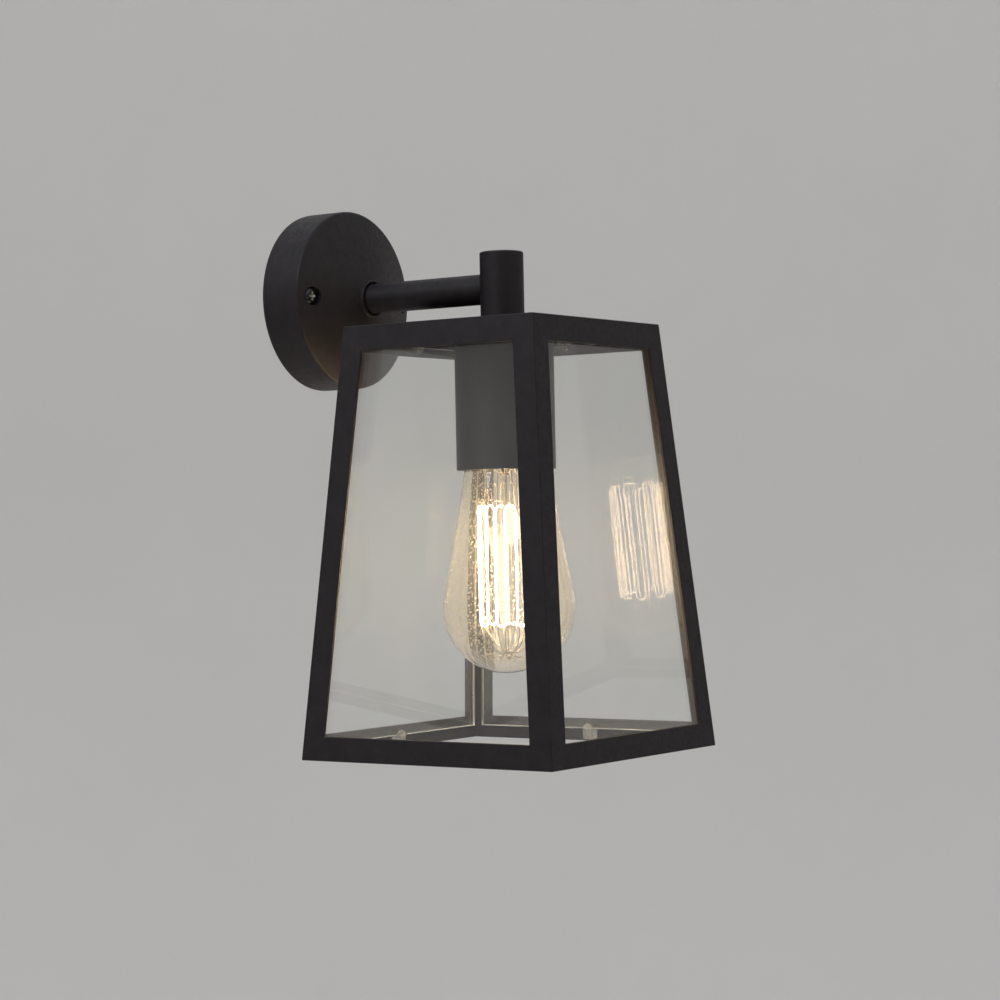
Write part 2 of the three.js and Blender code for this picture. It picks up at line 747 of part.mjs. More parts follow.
// A wire from the terminal block through the arm, down the post and the nipple to the lampholder.
function wire(side) {
  const radius = 1.1;
  const lamp = -PROJECTION;
  const block = BLOCK_MIDDLE_Y;
  const height = (z) => CAGE_BOTTOM_Z + z;
  const route = new THREE.CatmullRomCurve3([
    new THREE.Vector3((side * BLOCK.pitch) / 2, block, BLOCK.z - BLOCK.height / 2 + 1.5),
    new THREE.Vector3((side * BLOCK.pitch) / 2, block + 1, BLOCK.z - 8),
    new THREE.Vector3(side * 3.6, block + 3.4, 11.5),
    new THREE.Vector3(side * 2, block + 1.6, 3),
    new THREE.Vector3(side * 1.6, block - 4, -1.6),
    new THREE.Vector3(side * 1.6, -40, -3),
    new THREE.Vector3(side * 1.6, -80, -3),
    new THREE.Vector3(side * 1.6, lamp + 12, -2.4),
    new THREE.Vector3(side * 1.6, lamp + 3.2, -4.4),
    new THREE.Vector3(side * 1.6, lamp, -12),
    new THREE.Vector3(side * 1.6, lamp, height(212)),
    new THREE.Vector3(side * 1.6, lamp, height(196)),
  ]);
  const circle = new THREE.Path().absarc(0, 0, radius, 0, 2 * Math.PI);
  const section = new THREE.Shape(circle.getPoints(3));
  return new THREE.ExtrudeGeometry(section, { steps: 44, extrudePath: route, bevelEnabled: false });
}

// ---------------------------------------------------------------- assembly

const lantern = new THREE.Group();

const wallSide = new THREE.Group();
wallSide.add(
  piece("mounting_plate", mountingPlate(), zinc),
  piece("wall_gasket", wallGasket(), rubber),
  piece("cable_grommet", cableGrommet(), rubber),
  piece("earth_screw", earthScrew(), brass),
  piece("terminal_block", terminalBlock(), nylon),
  piece("terminal_screw_live", terminalScrew(BLOCK.pitch / 2), zinc),
  piece("terminal_screw_neutral", terminalScrew(-BLOCK.pitch / 2), zinc),
  piece("canopy", canopy(), paint),
  piece("arm_tube", armTube(), paint),
  piece("arm_washer", armWasher(), zinc),
  piece("arm_lock_nut", armLockNut(), zinc),
  piece("post_tube", postTube(), paint),
  piece("wire_live", wire(1), brownSleeve),
  piece("wire_neutral", wire(-1), blueSleeve),
);
for (const [side, x] of [["left", -SCREW.offset], ["right", SCREW.offset]]) {
  wallSide.add(
    piece(`canopy_screw_${side}`, canopyScrew(x), darkSteel),
    piece(`screw_seal_${side}`, screwSeal(x), rubber),
  );
}
lantern.add(wallSide);

const post = new THREE.Group();
post.position.set(0, -PROJECTION, 0);
post.add(piece("post_cap", postCap(), paint), piece("post_bush", postBush(), zinc));
lantern.add(post);

const cage = new THREE.Group();
cage.position.set(0, -PROJECTION, CAGE_BOTTOM_Z);
cage.add(
  piece("roof_plate", roofPlate(), paint),
  piece("nipple", ringZ(NIPPLE.bore, NIPPLE.radius, NIPPLE_BOTTOM, CAGE_TOP + 7.5, SMALL), zinc),
  piece("nipple_nut", nutZ(15, NIPPLE.radius + FIT, NUT_TOP - 4, NUT_TOP), zinc),
  piece("lampholder_cup", lampholderCup(), paint),
  piece("lampholder_body", lampholderBody(), porcelain),
  piece("lampholder_shell", lampholderShell(), brass),
  piece("lampholder_contact", lampholderContact(), brass),
);

const FACES = ["front", "right", "back", "left"];
const CORNERS = ["front_right", "back_right", "back_left", "front_left"];
FACES.forEach((name, quarter) => {
  const side = new THREE.Group();
  side.rotation.z = (quarter * Math.PI) / 2;
  const up = new THREE.Vector3(0, 0, 1);
  const down = new THREE.Vector3(0, 0, -1);
  side.add(
    piece(`corner_post_${CORNERS[quarter]}`, cornerPost(), paint),
    piece(`bottom_rail_${name}`, frontRail(bottomMitre, bottomCorner, down, CAGE.bottomRail), paint),
    piece(`top_rail_${name}`, frontRail(topMitre, topCorner, up, CAGE_TOP - CAGE.topRail), paint),
  );
  const face = new THREE.Group();
  face.position.set(0, -CAGE.halfBottom, 0);
  face.rotation.x = Math.PI / 2 - SLOPE_ANGLE;
  face.add(
    piece(`glass_pane_${name}`, glassPane(), clearGlass),
    piece(`glass_clip_bottom_${name}`, glassClip(PANE_BOTTOM, -1), clearPlastic),
    piece(`glass_clip_top_${name}`, glassClip(PANE_TOP, 1), clearPlastic),
  );
  side.add(face);
  cage.add(side);
});

const lamp = new THREE.Group();
lamp.add(
  piece("lamp_glass", lampGlass(), warmGlass),
  piece("lamp_stem", lampStem(), clearGlass),
  piece("lamp_support_top", filamentSupport(UPPER_ROUTE, 0), darkSteel),
  piece("lamp_support_bottom", filamentSupport(LOWER_ROUTE, 0.5), darkSteel),
  piece("lamp_filament", lampFilament(), hotWire),
  piece("lamp_cap", lampCap(), brass),
  piece("lamp_insulator", lampInsulator(), blackGlass),
  piece("lamp_contact", lampContact(), brass),
);
cage.add(lamp);
lantern.add(cage);

export default lantern;
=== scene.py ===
"""An outdoor wall lantern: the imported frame's pieces as they look, in metres, in the CAD's frame."""

import math

import bmesh
import bpy
from mathutils import Matrix, Vector


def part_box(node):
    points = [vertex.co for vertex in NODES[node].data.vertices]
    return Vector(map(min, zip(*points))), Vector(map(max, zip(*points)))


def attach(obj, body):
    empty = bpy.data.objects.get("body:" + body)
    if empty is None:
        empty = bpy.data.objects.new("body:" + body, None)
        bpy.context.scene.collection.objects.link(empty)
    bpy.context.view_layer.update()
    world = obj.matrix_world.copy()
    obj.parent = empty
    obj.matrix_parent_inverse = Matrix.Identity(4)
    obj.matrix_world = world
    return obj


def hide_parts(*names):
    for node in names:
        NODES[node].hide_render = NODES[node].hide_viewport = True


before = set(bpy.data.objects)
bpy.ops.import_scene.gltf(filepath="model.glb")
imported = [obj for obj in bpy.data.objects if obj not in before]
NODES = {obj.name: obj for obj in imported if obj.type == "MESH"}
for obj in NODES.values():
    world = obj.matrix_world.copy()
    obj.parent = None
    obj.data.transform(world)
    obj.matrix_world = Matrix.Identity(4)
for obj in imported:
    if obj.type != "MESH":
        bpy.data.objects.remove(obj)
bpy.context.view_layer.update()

MM = 0.001

# ------------------------------------------------------------------ camera, at the photograph's angle

camera_data = bpy.data.cameras.new("camera")
camera_data.sensor_width = 36.0
camera_data.lens = 92.1
camera_data.clip_start = 0.02
camera = bpy.data.objects.new("camera", camera_data)
bpy.context.scene.collection.objects.link(camera)
CAMERA_RIGHT = (0.57359698, -0.81888315, -0.02041822)
CAMERA_UP = (0.00485082, -0.02153034, 0.99975643)
CAMERA_BACK = (-0.8191233, -0.57355631, -0.00837748)
CAMERA_PLACE = (-1.05828, -0.8555, -0.1177)
camera.matrix_world = Matrix(
    [(*row, place) for row, place in zip(zip(CAMERA_RIGHT, CAMERA_UP, CAMERA_BACK), CAMERA_PLACE)]
    + [(0, 0, 0, 1)]
)
bpy.context.scene.camera = camera

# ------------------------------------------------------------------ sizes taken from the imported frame


def span(node, axis):
    low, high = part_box(node)
    return high[axis] - low[axis]


def middle(node, axis):
    low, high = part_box(node)
    return (high[axis] + low[axis]) / 2


# The lantern's axis and the cage's bottom edge are in metres, the sizes after them in millimetres.
AXIS_Y = middle("lampholder_cup", 1)
BASE_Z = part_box("bottom_rail_front")[0].z

CAGE_HEIGHT = (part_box("top_rail_front")[1].z - BASE_Z) / MM
# The cage as it was drawn: half its width at the bottom and at the top, and its height.
BOTTOM_REACH = 75.0
TOP_REACH = 57.2
DRAWN_HEIGHT = 215.4
TAPER = (BOTTOM_REACH - TOP_REACH) / DRAWN_HEIGHT
SLOPE = math.atan(TAPER)
CANOPY_RADIUS = span("canopy", 0) / 2 / MM
ARM_RADIUS = span("arm_tube", 0) / 2 / MM
POST_RADIUS = span("post_tube", 0) / 2 / MM
CUP_RADIUS = span("lampholder_cup", 0) / 2 / MM

# ------------------------------------------------------------------ material helpers


class Paint:
    """A node material: a Principled shader and the noises that drive it, in object coordinates."""

    def __init__(self, name, **sockets):
        self.material = bpy.data.materials.new(name)
        self.material.use_nodes = True
        self.tree = self.material.node_tree
        self.shader = self.tree.nodes["Principled BSDF"]
        for socket, value in sockets.items():
            self.shader.inputs[socket.replace("_", " ")].default_value = value
        coordinates = self.tree.nodes.new("ShaderNodeTexCoord")
        self.place = coordinates.outputs["Object"]

    def link(self, source, target):
        self.tree.links.new(source, target)

    def stretched(self, scale):
        mapping = self.tree.nodes.new("ShaderNodeMapping")
        mapping.inputs["Scale"].default_value = scale
        self.link(self.place, mapping.inputs["Vector"])
        return mapping.outputs["Vector"]

    def noise(self, size_mm, detail=3.0, roughness=0.55, place=None):
        node = self.tree.nodes.new("ShaderNodeTexNoise")
        node.inputs["Scale"].default_value = 1.0 / (size_mm * MM)
        node.inputs["Detail"].default_value = detail
        node.inputs["Roughness"].default_value = roughness
        self.link(place or self.place, node.inputs["Vector"])
        return node.outputs["Fac"]

    def cells(self, size_mm):
        node = self.tree.nodes.new("ShaderNodeTexVoronoi")
        node.inputs["Scale"].default_value = 1.0 / (size_mm * MM)
        self.link(self.place, node.inputs["Vector"])
        return node.outputs["Distance"]

    def ranged(self, source, low, high, start=0.3, end=0.7):
        node = self.tree.nodes.new("ShaderNodeMapRange")
        limits = {"From Min": start, "From Max": end, "To Min": low, "To Max": high}
        for socket, value in limits.items():
            node.inputs[socket].default_value = value
        self.link(source, node.inputs["Value"])
        return node.outputs["Result"]

    def ramp(self, source, *stops):
        node = self.tree.nodes.new("ShaderNodeValToRGB")
        elements = node.color_ramp.elements
        while len(elements) < len(stops):
            elements.new(0.5)
        for element, (position, colour) in zip(elements, stops):
            element.position = position
            element.color = (*colour, 1.0)
        self.link(source, node.inputs["Fac"])
        return node.outputs["Color"]

    def colour(self, source, *stops):
        self.link(self.ramp(source, *stops), self.shader.inputs["Base Color"])
        return self

    def rough(self, source, low, high):
        self.link(self.ranged(source, low, high), self.shader.inputs["Roughness"])
        return self

    def bump(self, source, depth_mm, strength=1.0):
        node = self.tree.nodes.new("ShaderNodeBump")
        node.inputs["Distance"].default_value = depth_mm * MM
        node.inputs["Strength"].default_value = strength
        before = self.shader.inputs["Normal"].links
        if before:
            self.link(before[0].from_socket, node.inputs["Normal"])
        self.link(source, node.inputs["Height"])
        self.link(node.outputs["Normal"], self.shader.inputs["Normal"])
        return self

    def lets_lamps_through(self, tint):
        """Glass that doesn't shade what is behind it from the lamps."""
        clear = self.tree.nodes.new("ShaderNodeBsdfTransparent")
        clear.inputs["Color"].default_value = (*tint, 1.0)
        path = self.tree.nodes.new("ShaderNodeLightPath")
        mix = self.tree.nodes.new("ShaderNodeMixShader")
        self.link(path.outputs["Is Shadow Ray"], mix.inputs[0])
        self.link(self.shader.outputs["BSDF"], mix.inputs[1])
        self.link(clear.outputs["BSDF"], mix.inputs[2])
        self.link(mix.outputs["Shader"], self.tree.nodes["Material Output"].inputs["Surface"])
        return self


def rgb(hex_colour):
    """A linear colour from an sRGB hex number."""
    channels = [((hex_colour >> shift) & 255) / 255 for shift in (16, 8, 0)]
    return tuple(c / 12.92 if c <= 0.04045 else ((c + 0.055) / 1.055) ** 2.4 for c in channels)


# ------------------------------------------------------------------ materials

MATERIALS = {}


def keep(paint, slot):
    MATERIALS[slot] = paint.material


powder = Paint("black_powder_coat", Metallic=0.0, IOR=1.5, Specular_IOR_Level=0.24)
powder.colour(
    powder.noise(7.0, 4.0),
    (0.30, rgb(0x151113)),
    (0.55, rgb(0x1B1618)),
    (0.75, rgb(0x211C1E)),
)
powder.rough(powder.noise(2.5, 4.0), 0.44, 0.60)
powder.bump(powder.noise(0.9, 3.0, 0.6), 0.018, 0.8)
powder.bump(powder.noise(0.25, 2.0), 0.003, 0.8)
keep(powder, "black_paint")

zinc = Paint("zinc_plated_steel", Metallic=1.0)
zinc.colour(
    zinc.noise(9.0, 5.0),
    (0.30, rgb(0xA9ADB2)),
    (0.52, rgb(0xC6C7C6)),
    (0.74, rgb(0xBDB7A6)),
)
zinc.rough(zinc.noise(1.6, 5.0, 0.7), 0.28, 0.46)
zinc.bump(zinc.noise(0.5, 3.0, place=zinc.stretched((1, 1, 0.12))), 0.01, 0.7)
keep(zinc, "zinc_steel")

rubber = Paint("black_rubber", Metallic=0.0)
rubber.colour(rubber.noise(3.0, 4.0), (0.3, rgb(0x121213)), (0.7, rgb(0x202021)))
rubber.rough(rubber.noise(1.2), 0.68, 0.88)
rubber.bump(rubber.noise(0.4, 4.0), 0.02, 0.8)
keep(rubber, "black_rubber")

brass = Paint("brass", Metallic=1.0)
brass.colour(
    brass.noise(5.0, 5.0),
    (0.30, rgb(0xB58B46)),
    (0.55, rgb(0xD9B56A)),
    (0.75, rgb(0xE6C884)),
)
brass.rough(brass.noise(0.9, 5.0, 0.7), 0.2, 0.38)
brass.bump(brass.noise(0.3, 3.0, place=brass.stretched((0.2, 0.2, 1))), 0.006, 0.7)
keep(brass, "brass")

oxide = Paint("black_oxide_steel", Metallic=0.9)
oxide.colour(oxide.noise(1.6, 4.0), (0.3, rgb(0x2A2A2C)), (0.7, rgb(0x48464A)))
oxide.rough(oxide.noise(0.6, 4.0), 0.24, 0.42)
oxide.bump(oxide.noise(0.25, 3.0), 0.006, 0.6)
keep(oxide, "dark_steel")

molybdenum = Paint("support_wire", Metallic=1.0)
molybdenum.colour(molybdenum.noise(1.2, 4.0), (0.3, rgb(0x77736E)), (0.7, rgb(0xA6A19A)))
molybdenum.rough(molybdenum.noise(0.4), 0.26, 0.42)
keep(molybdenum, "support_wire")

nylon = Paint("white_nylon", Metallic=0.0)
nylon.colour(nylon.noise(6.0, 4.0), (0.3, rgb(0xDAD6CB)), (0.7, rgb(0xEAE7DE)))
nylon.rough(nylon.noise(1.4), 0.38, 0.52)
nylon.bump(nylon.noise(0.5, 3.0), 0.012, 0.7)
keep(nylon, "white_nylon")

for slot, dark, light in (
    ("brown_sleeve", 0x5A3019, 0x75462A),
    ("blue_sleeve", 0x23457C, 0x345C9A),
):
    sleeve = Paint(slot, Metallic=0.0)
    sleeve.colour(sleeve.noise(3.0, 3.0), (0.3, rgb(dark)), (0.7, rgb(light)))
    sleeve.rough(sleeve.noise(0.8), 0.36, 0.5)
    sleeve.bump(sleeve.noise(0.4, 3.0), 0.008, 0.7)
    keep(sleeve, slot)

clear_plastic = Paint("clip_plastic", Transmission_Weight=0.8, IOR=1.46)
clear_plastic.colour(clear_plastic.noise(2.5, 4.0), (0.3, rgb(0xC9C7C0)), (0.7, rgb(0xDFDEDA)))
clear_plastic.rough(clear_plastic.noise(0.8, 4.0), 0.08, 0.2)
clear_plastic.bump(clear_plastic.noise(0.7, 3.0), 0.01, 0.7)
keep(clear_plastic, "clip_plastic")

porcelain = Paint("glazed_porcelain", Metallic=0.0, Coat_Weight=0.6, Coat_Roughness=0.06)
porcelain.colour(porcelain.noise(8.0, 4.0), (0.3, rgb(0xE2DED2)), (0.7, rgb(0xF1EEE6)))
porcelain.rough(porcelain.noise(1.8), 0.16, 0.3)
porcelain.bump(porcelain.noise(2.2, 2.0), 0.02, 0.6)
keep(porcelain, "porcelain")

float_glass = Paint("pane_glass", Transmission_Weight=0.99, IOR=1.5)
float_glass.colour(float_glass.noise(40.0, 2.0), (0.3, rgb(0xF8FAF8)), (0.7, rgb(0xFCFCFB)))
float_glass.rough(float_glass.noise(30.0, 3.0), 0.0, 0.006)
float_glass.bump(float_glass.noise(90.0, 0.0), 0.02, 0.2)
float_glass.lets_lamps_through((0.955, 0.965, 0.96))
keep(float_glass, "pane_glass")

# The ground edges are pale frosted glass, made brighter than that to paint in the bulb's light that the
# pane carries to its edges.
ground_edge = Paint("ground_glass_edge", Transmission_Weight=0.9, IOR=1.5)
ground_edge.colour(ground_edge.noise(3.0, 4.0), (0.3, rgb(0xCCD8D2)), (0.7, rgb(0xE2EBE6)))
ground_edge.rough(ground_edge.noise(0.5, 3.0), 0.24, 0.42)
ground_edge.bump(ground_edge.noise(0.2, 3.0), 0.008, 0.6)
ground_edge.lets_lamps_through((0.9, 0.93, 0.91))

bulb_glass = Paint("lamp_glass", Transmission_Weight=0.994, IOR=1.47)
SPECK_SPACING = 2.2
bulb_glass.colour(
    bulb_glass.cells(SPECK_SPACING),
    (0.12, rgb(0xC4B497)),
    (0.30, rgb(0xFFF9EE)),
    (0.60, rgb(0xFFFCF6)),
)
specks = bulb_glass.ranged(bulb_glass.cells(SPECK_SPACING), 0.5, 0.0, 0.12, 0.28)
bulb_glass.link(specks, bulb_glass.shader.inputs["Roughness"])
bulb_glass.bump(bulb_glass.noise(9.0, 1.0), 0.04, 0.4)
bulb_glass.lets_lamps_through((0.98, 0.95, 0.9))
keep(bulb_glass, "lamp_glass")

stem_glass = Paint("stem_glass", Transmission_Weight=1.0, IOR=1.5)
stem_glass.colour(stem_glass.noise(6.0, 3.0), (0.3, rgb(0xF6F4EC)), (0.7, rgb(0xFBFAF6)))
stem_glass.rough(stem_glass.noise(2.0), 0.0, 0.04)
stem_glass.bump(stem_glass.noise(2.5, 2.0), 0.05, 0.5)
stem_glass.lets_lamps_through((0.96, 0.95, 0.93))
keep(stem_glass, "stem_glass")

FILAMENT_STRENGTH = 110.0
filament_glow = Paint("hot_filament", Emission_Strength=FILAMENT_STRENGTH)
filament_glow.colour(filament_glow.noise(2.0), (0.3, rgb(0xC08A58)), (0.7, rgb(0xE0B080)))
filament_glow.link(
    filament_glow.ramp(
        filament_glow.noise(12.0, 2.0),
        (0.3, (1.0, 0.78, 0.52)),
        (0.7, (1.0, 0.85, 0.61)),
    ),
    filament_glow.shader.inputs["Emission Color"],
)
filament_glow.rough(filament_glow.noise(0.6), 0.4, 0.6)
keep(filament_glow, "hot_filament")

vitrite = Paint("black_glass", Metallic=0.0, IOR=1.6)
vitrite.colour(vitrite.noise(2.5, 4.0), (0.3, rgb(0x0E0E12)), (0.7, rgb(0x24222A)))
vitrite.rough(vitrite.noise(1.2), 0.08, 0.22)
vitrite.bump(vitrite.noise(1.4, 2.0), 0.02, 0.5)
keep(vitrite, "black_glass")


# ------------------------------------------------------------------ shape helpers
#
# A profile is a turned solid's outline: (radius, height) in millimetres. A third number is the
# radius of that corner, where it differs from the one that rounded() gives to the others.

TINY = 1e-9


def angles(count):
    """Evenly spaced angles of a full turn."""
    return [2 * math.pi * step / count for step in range(count)]


def upright(x, y, height):
    """A point by the lantern's axis, from millimetres above the cage's bottom edge."""
    return Vector((x * MM, AXIS_Y + y * MM, BASE_Z + height * MM))


def outward(centre_x=0.0, centre_z=0.0):
    """Places points of a piece that is turned about a line square to the wall."""
    return lambda x, z, y: Vector(((x + centre_x) * MM, y * MM, (z + centre_z) * MM))


NEARLY_STRAIGHT = math.radians(163)


def rounded(profile, radius, steps=3):
    """Rounds a profile's corners, so that its edges catch the light. Points on the axis stay."""
    result = []
    for i, point in enumerate(profile):
        corner = Vector(point[:2])
        to_last = Vector(profile[i - 1][:2]) - corner
        to_next = Vector(profile[(i + 1) % len(profile)][:2]) - corner
        if corner.x < TINY or to_last.angle(to_next) > NEARLY_STRAIGHT:
            result.append(corner)
            continue
        own = point[2] if len(point) > 2 else radius
        reach = min(own, 0.45 * to_last.length, 0.45 * to_next.length)
        start = corner + to_last.normalized() * reach
        end = corner + to_next.normalized() * reach
        for step in range(steps + 1):
            t = step / steps
            result.append((1 - t) ** 2 * start + 2 * t * (1 - t) * corner + t * t * end)
    return result


def bridged(bm, a, b):
    """The band of faces between two loops with as many corners."""
    band = []
    for i in range(len(a)):
        j = (i + 1) % len(a)
        band.append(bm.faces.new([a[i], a[j], b[j], b[i]]))
    return band


def revolve(profile, place=upright, steps=96, thread=None):
    """A turned solid from a profile. thread changes a radius by its height and angle."""
    bm = bmesh.new()
    rings = []
    for radius, height in profile:
        if radius < TINY:
            rings.append([bm.verts.new(place(0, 0, height))])
            continue
        ring = []
        for angle in angles(steps):
            r = thread(radius, height, angle) if thread else radius
            ring.append(bm.verts.new(place(r * math.cos(angle), r * math.sin(angle), height)))
        rings.append(ring)
    pairs = list(zip(rings, rings[1:]))
    if len(rings[0]) > 1 or len(rings[-1]) > 1:
        pairs.append((rings[-1], rings[0]))
    for a, b in pairs:
        for i in range(steps):
            j = (i + 1) % steps
            corners = [a[i % len(a)], a[j % len(a)], b[j % len(b)], b[i % len(b)]]
            distinct = list(dict.fromkeys(corners))
            if len(distinct) > 2:
                bm.faces.new(distinct)
    bmesh.ops.recalc_face_normals(bm, faces=bm.faces)
    return bm


def prism(outline, low, high, place):
    """A straight solid from an outline's (x, y) points between two heights."""
    bm = bmesh.new()
    lower = [bm.verts.new(place(x, y, low)) for x, y in outline]
    upper = [bm.verts.new(place(x, y, high)) for x, y in outline]
    bm.faces.new(lower)
    bm.faces.new(upper)
    bridged(bm, lower, upper)
    bmesh.ops.recalc_face_normals(bm, faces=bm.faces)
    return bm


def tube(points, radius, sides=10, closed=False):
    """A round wire along points, as one closed solid."""
    bm = bmesh.new()
    count = len(points)
    normal = None
    rings = []
    for i, point in enumerate(points):
        after = points[(i + 1) % count] if closed or i < count - 1 else point
        before = points[i - 1] if closed or i > 0 else point
        along = (after - before).normalized()
        if normal is None:
            normal = along.orthogonal().normalized()
        normal = (normal - along * normal.dot(along)).normalized()
        across = along.cross(normal)
        rings.append(
            [
                bm.verts.new(point + (normal * math.cos(a) + across * math.sin(a)) * radius * MM)
                for a in angles(sides)
            ]
        )
    joined = list(zip(rings, rings[1:]))
    if closed:
        last, first = rings[-1], rings[0]
        turn = min(range(sides), key=lambda k: (first[k].co - last[0].co).length)
        joined.append((last, first[turn:] + first[:turn]))
    else:
        bm.faces.new(rings[0])
        bm.faces.new(rings[-1])
    for a, b in joined:
        bridged(bm, a, b)
    bmesh.ops.recalc_face_normals(bm, faces=bm.faces)
    return bm


def merged(*parts):
    """Several solids in one mesh."""
    mesh = bpy.data.meshes.new("part")
    bm = bmesh.new()
    for part in parts:
        part.to_mesh(mesh)
        part.free()
        bm.from_mesh(mesh)
    bpy.data.meshes.remove(mesh)
    return bm


SAME_POINT = 1e-7


def combined(solid, *tools):
    """A solid with tools joined to it or cut from it, as (operation, tool) pairs in order."""
    meshes, objects = [], []
    for bm in (solid, *(tool for _, tool in tools)):
        mesh = bpy.data.meshes.new("tool")
        bm.to_mesh(mesh)
        bm.free()
        ob = bpy.data.objects.new("tool", mesh)
        bpy.context.scene.collection.objects.link(ob)
        meshes.append(mesh)
        objects.append(ob)
    for (operation, _), tool in zip(tools, objects[1:]):
        modifier = objects[0].modifiers.new("combine", "BOOLEAN")
        modifier.solver = "EXACT"
        modifier.operation = operation
        modifier.object = tool
    graph = bpy.context.evaluated_depsgraph_get()
    result = bpy.data.meshes.new_from_object(objects[0].evaluated_get(graph))
    bm = bmesh.new()
    bm.from_mesh(result)
    bpy.data.meshes.remove(result)
    for ob in objects:
        bpy.data.objects.remove(ob)
    for mesh in meshes:
        bpy.data.meshes.remove(mesh)
    bmesh.ops.remove_doubles(bm, verts=bm.verts, dist=SAME_POINT)
    return bm


def make(name, bm, slot, body, *replaced, bevel=0.0, sharp=40.0, extra=()):
    """Turns a mesh into a finished piece on its CAD body. bevel is in millimetres."""
    mesh = bpy.data.meshes.new(name)
    bm.to_mesh(mesh)
    bm.free()
    for material in (MATERIALS[slot], *extra):
        mesh.materials.append(material)
    mesh.shade_smooth()
    mesh.set_sharp_from_angle(angle=math.radians(sharp))
    piece = bpy.data.objects.new(name, mesh)
    bpy.context.scene.collection.objects.link(piece)
    if bevel:
        soften(piece, bevel)
    weighted = piece.modifiers.new("weighted", "WEIGHTED_NORMAL")
    weighted.keep_sharp = True
    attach(piece, body)
    if replaced:
        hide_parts(*replaced)


def soften(piece, width):
    """Bevels a piece's sharp edges by a width in millimetres."""
    modifier = piece.modifiers.new("soften", "BEVEL")
    modifier.width = width * MM
    modifier.segments = 2
    modifier.limit_method = "ANGLE"
    modifier.angle_limit = math.radians(38.0)
    modifier.use_clamp_overlap = True


# ------------------------------------------------------------------ wall side

GASKET_DEPTH = 1.2
RIM_DEPTH = 23.4
CONE_RISE = 12.0
CONE_BULGE = 0.6
LIP_RADIUS = 9.7
LIP_HEIGHT = 1.5
MOUTH_RADIUS = 8.6
MOUTH_DEPTH = 1
WALL = 2.0
FRONT_Y = -RIM_DEPTH - CONE_RISE
ARM_GAP = 0.3
SEAT_Y = -21.95
TAIL_HOLE = 6.7
HUB_RADIUS = 12
HUB_BACK_Y = -14
SCREW_X = middle("canopy_screw_right", 0) / MM
BOSS_RADIUS = 7.2
BOSS_BACK_Y = -15
POCKET_RADIUS = 4.8
SCREW_HOLE = 2.2
BEYOND_Y = -45


def cone(inset, steps):
    """Points of the canopy's bulging front from its rim to its lip, a little below its surface."""
    points = []
    for step in range(steps + 1):
        t = step / steps
        rise = CONE_RISE * t + 4 * CONE_BULGE * t * (1 - t)
        radius = CANOPY_RADIUS - inset - (CANOPY_RADIUS - LIP_RADIUS - inset) * t
        points.append((radius, -RIM_DEPTH - rise + inset))
    return points


def plug(radius, start, end, place, steps=48):
    """A plain round bar between two heights."""
    return revolve([(0, start), (radius, start), (radius, end), (0, end)], place, steps)


def at_both_screws(shape):
    """A shape on each canopy screw's axis. shape makes it from the function that places it."""
    return merged(*(shape(outward(x)) for x in (-SCREW_X, SCREW_X)))


outer_cone = [(radius, y, 1.3 if i == 0 else 0.3) for i, (radius, y) in enumerate(cone(0, 14))]
canopy_profile = [
    (CANOPY_RADIUS - WALL, -GASKET_DEPTH),
    (CANOPY_RADIUS, -GASKET_DEPTH, 0.4),
    *outer_cone[:-1],
    (LIP_RADIUS, FRONT_Y, 0.25),
    (LIP_RADIUS, FRONT_Y - LIP_HEIGHT, 0.5),
    (MOUTH_RADIUS, FRONT_Y - LIP_HEIGHT, 0.3),
    (MOUTH_RADIUS, FRONT_Y + MOUTH_DEPTH),
    (ARM_RADIUS + ARM_GAP, FRONT_Y + MOUTH_DEPTH),
    (ARM_RADIUS + ARM_GAP, SEAT_Y),
    (TAIL_HOLE, SEAT_Y),
    (TAIL_HOLE, HUB_BACK_Y),
    (HUB_RADIUS, HUB_BACK_Y),
    (HUB_RADIUS, FRONT_Y + WALL + 1.5),
    *reversed(cone(WALL, 10)[:-1]),
]
# The core lies just below the canopy's surface, and the bosses end at it.
CORE_INSET = 0.6
core_profile = [
    (0, -GASKET_DEPTH),
    (CANOPY_RADIUS - CORE_INSET, -GASKET_DEPTH),
    *cone(CORE_INSET, 14),
    (0, FRONT_Y + CORE_INSET),
]
bosses = combined(
    at_both_screws(lambda place: plug(BOSS_RADIUS, BOSS_BACK_Y, BEYOND_Y, place, 64)),
    ("INTERSECT", revolve(core_profile, outward(), 128)),
)
canopy_shell = combined(
    revolve(rounded(canopy_profile, 0.3), outward(), 128),
    ("UNION", bosses),
    (
        "DIFFERENCE",
        at_both_screws(lambda place: plug(POCKET_RADIUS, -RIM_DEPTH, BEYOND_Y, place)),
    ),
    ("DIFFERENCE", at_both_screws(lambda place: plug(SCREW_HOLE, -50, -5, place, 24))),
)
make("wall_canopy", canopy_shell, "black_paint", "lantern", "canopy", bevel=0.22)

GASKET_OUTER = CANOPY_RADIUS - 0.2
GASKET_INNER = CANOPY_RADIUS - 3.2
gasket_profile = [
    (GASKET_INNER, -0.05),
    (GASKET_INNER, -GASKET_DEPTH + 0.05),
    (GASKET_OUTER, -GASKET_DEPTH + 0.05),
    (GASKET_OUTER, -0.05),
]
make("canopy_gasket", revolve(rounded(gasket_profile, 0.3), outward(), 128), "black_rubber",
     "lantern", "wall_gasket")


PLATE_RADIUS = span("mounting_plate", 0) / 2 / MM
PLATE_DEPTH = 2
COLLAR_INNER = 2.25
COLLAR_OUTER = 3.6
COLLAR_END_Y = -8
SLOT_Z = 37
SLOT_HALF = 4
SLOT_RADIUS = 2.5
CABLE_Z = -24
CABLE_HOLE = 5.2
EARTH_X = 21
EARTH_Z = -17
EARTH_HOLE = 2.3
THROUGH = (-4, 1)


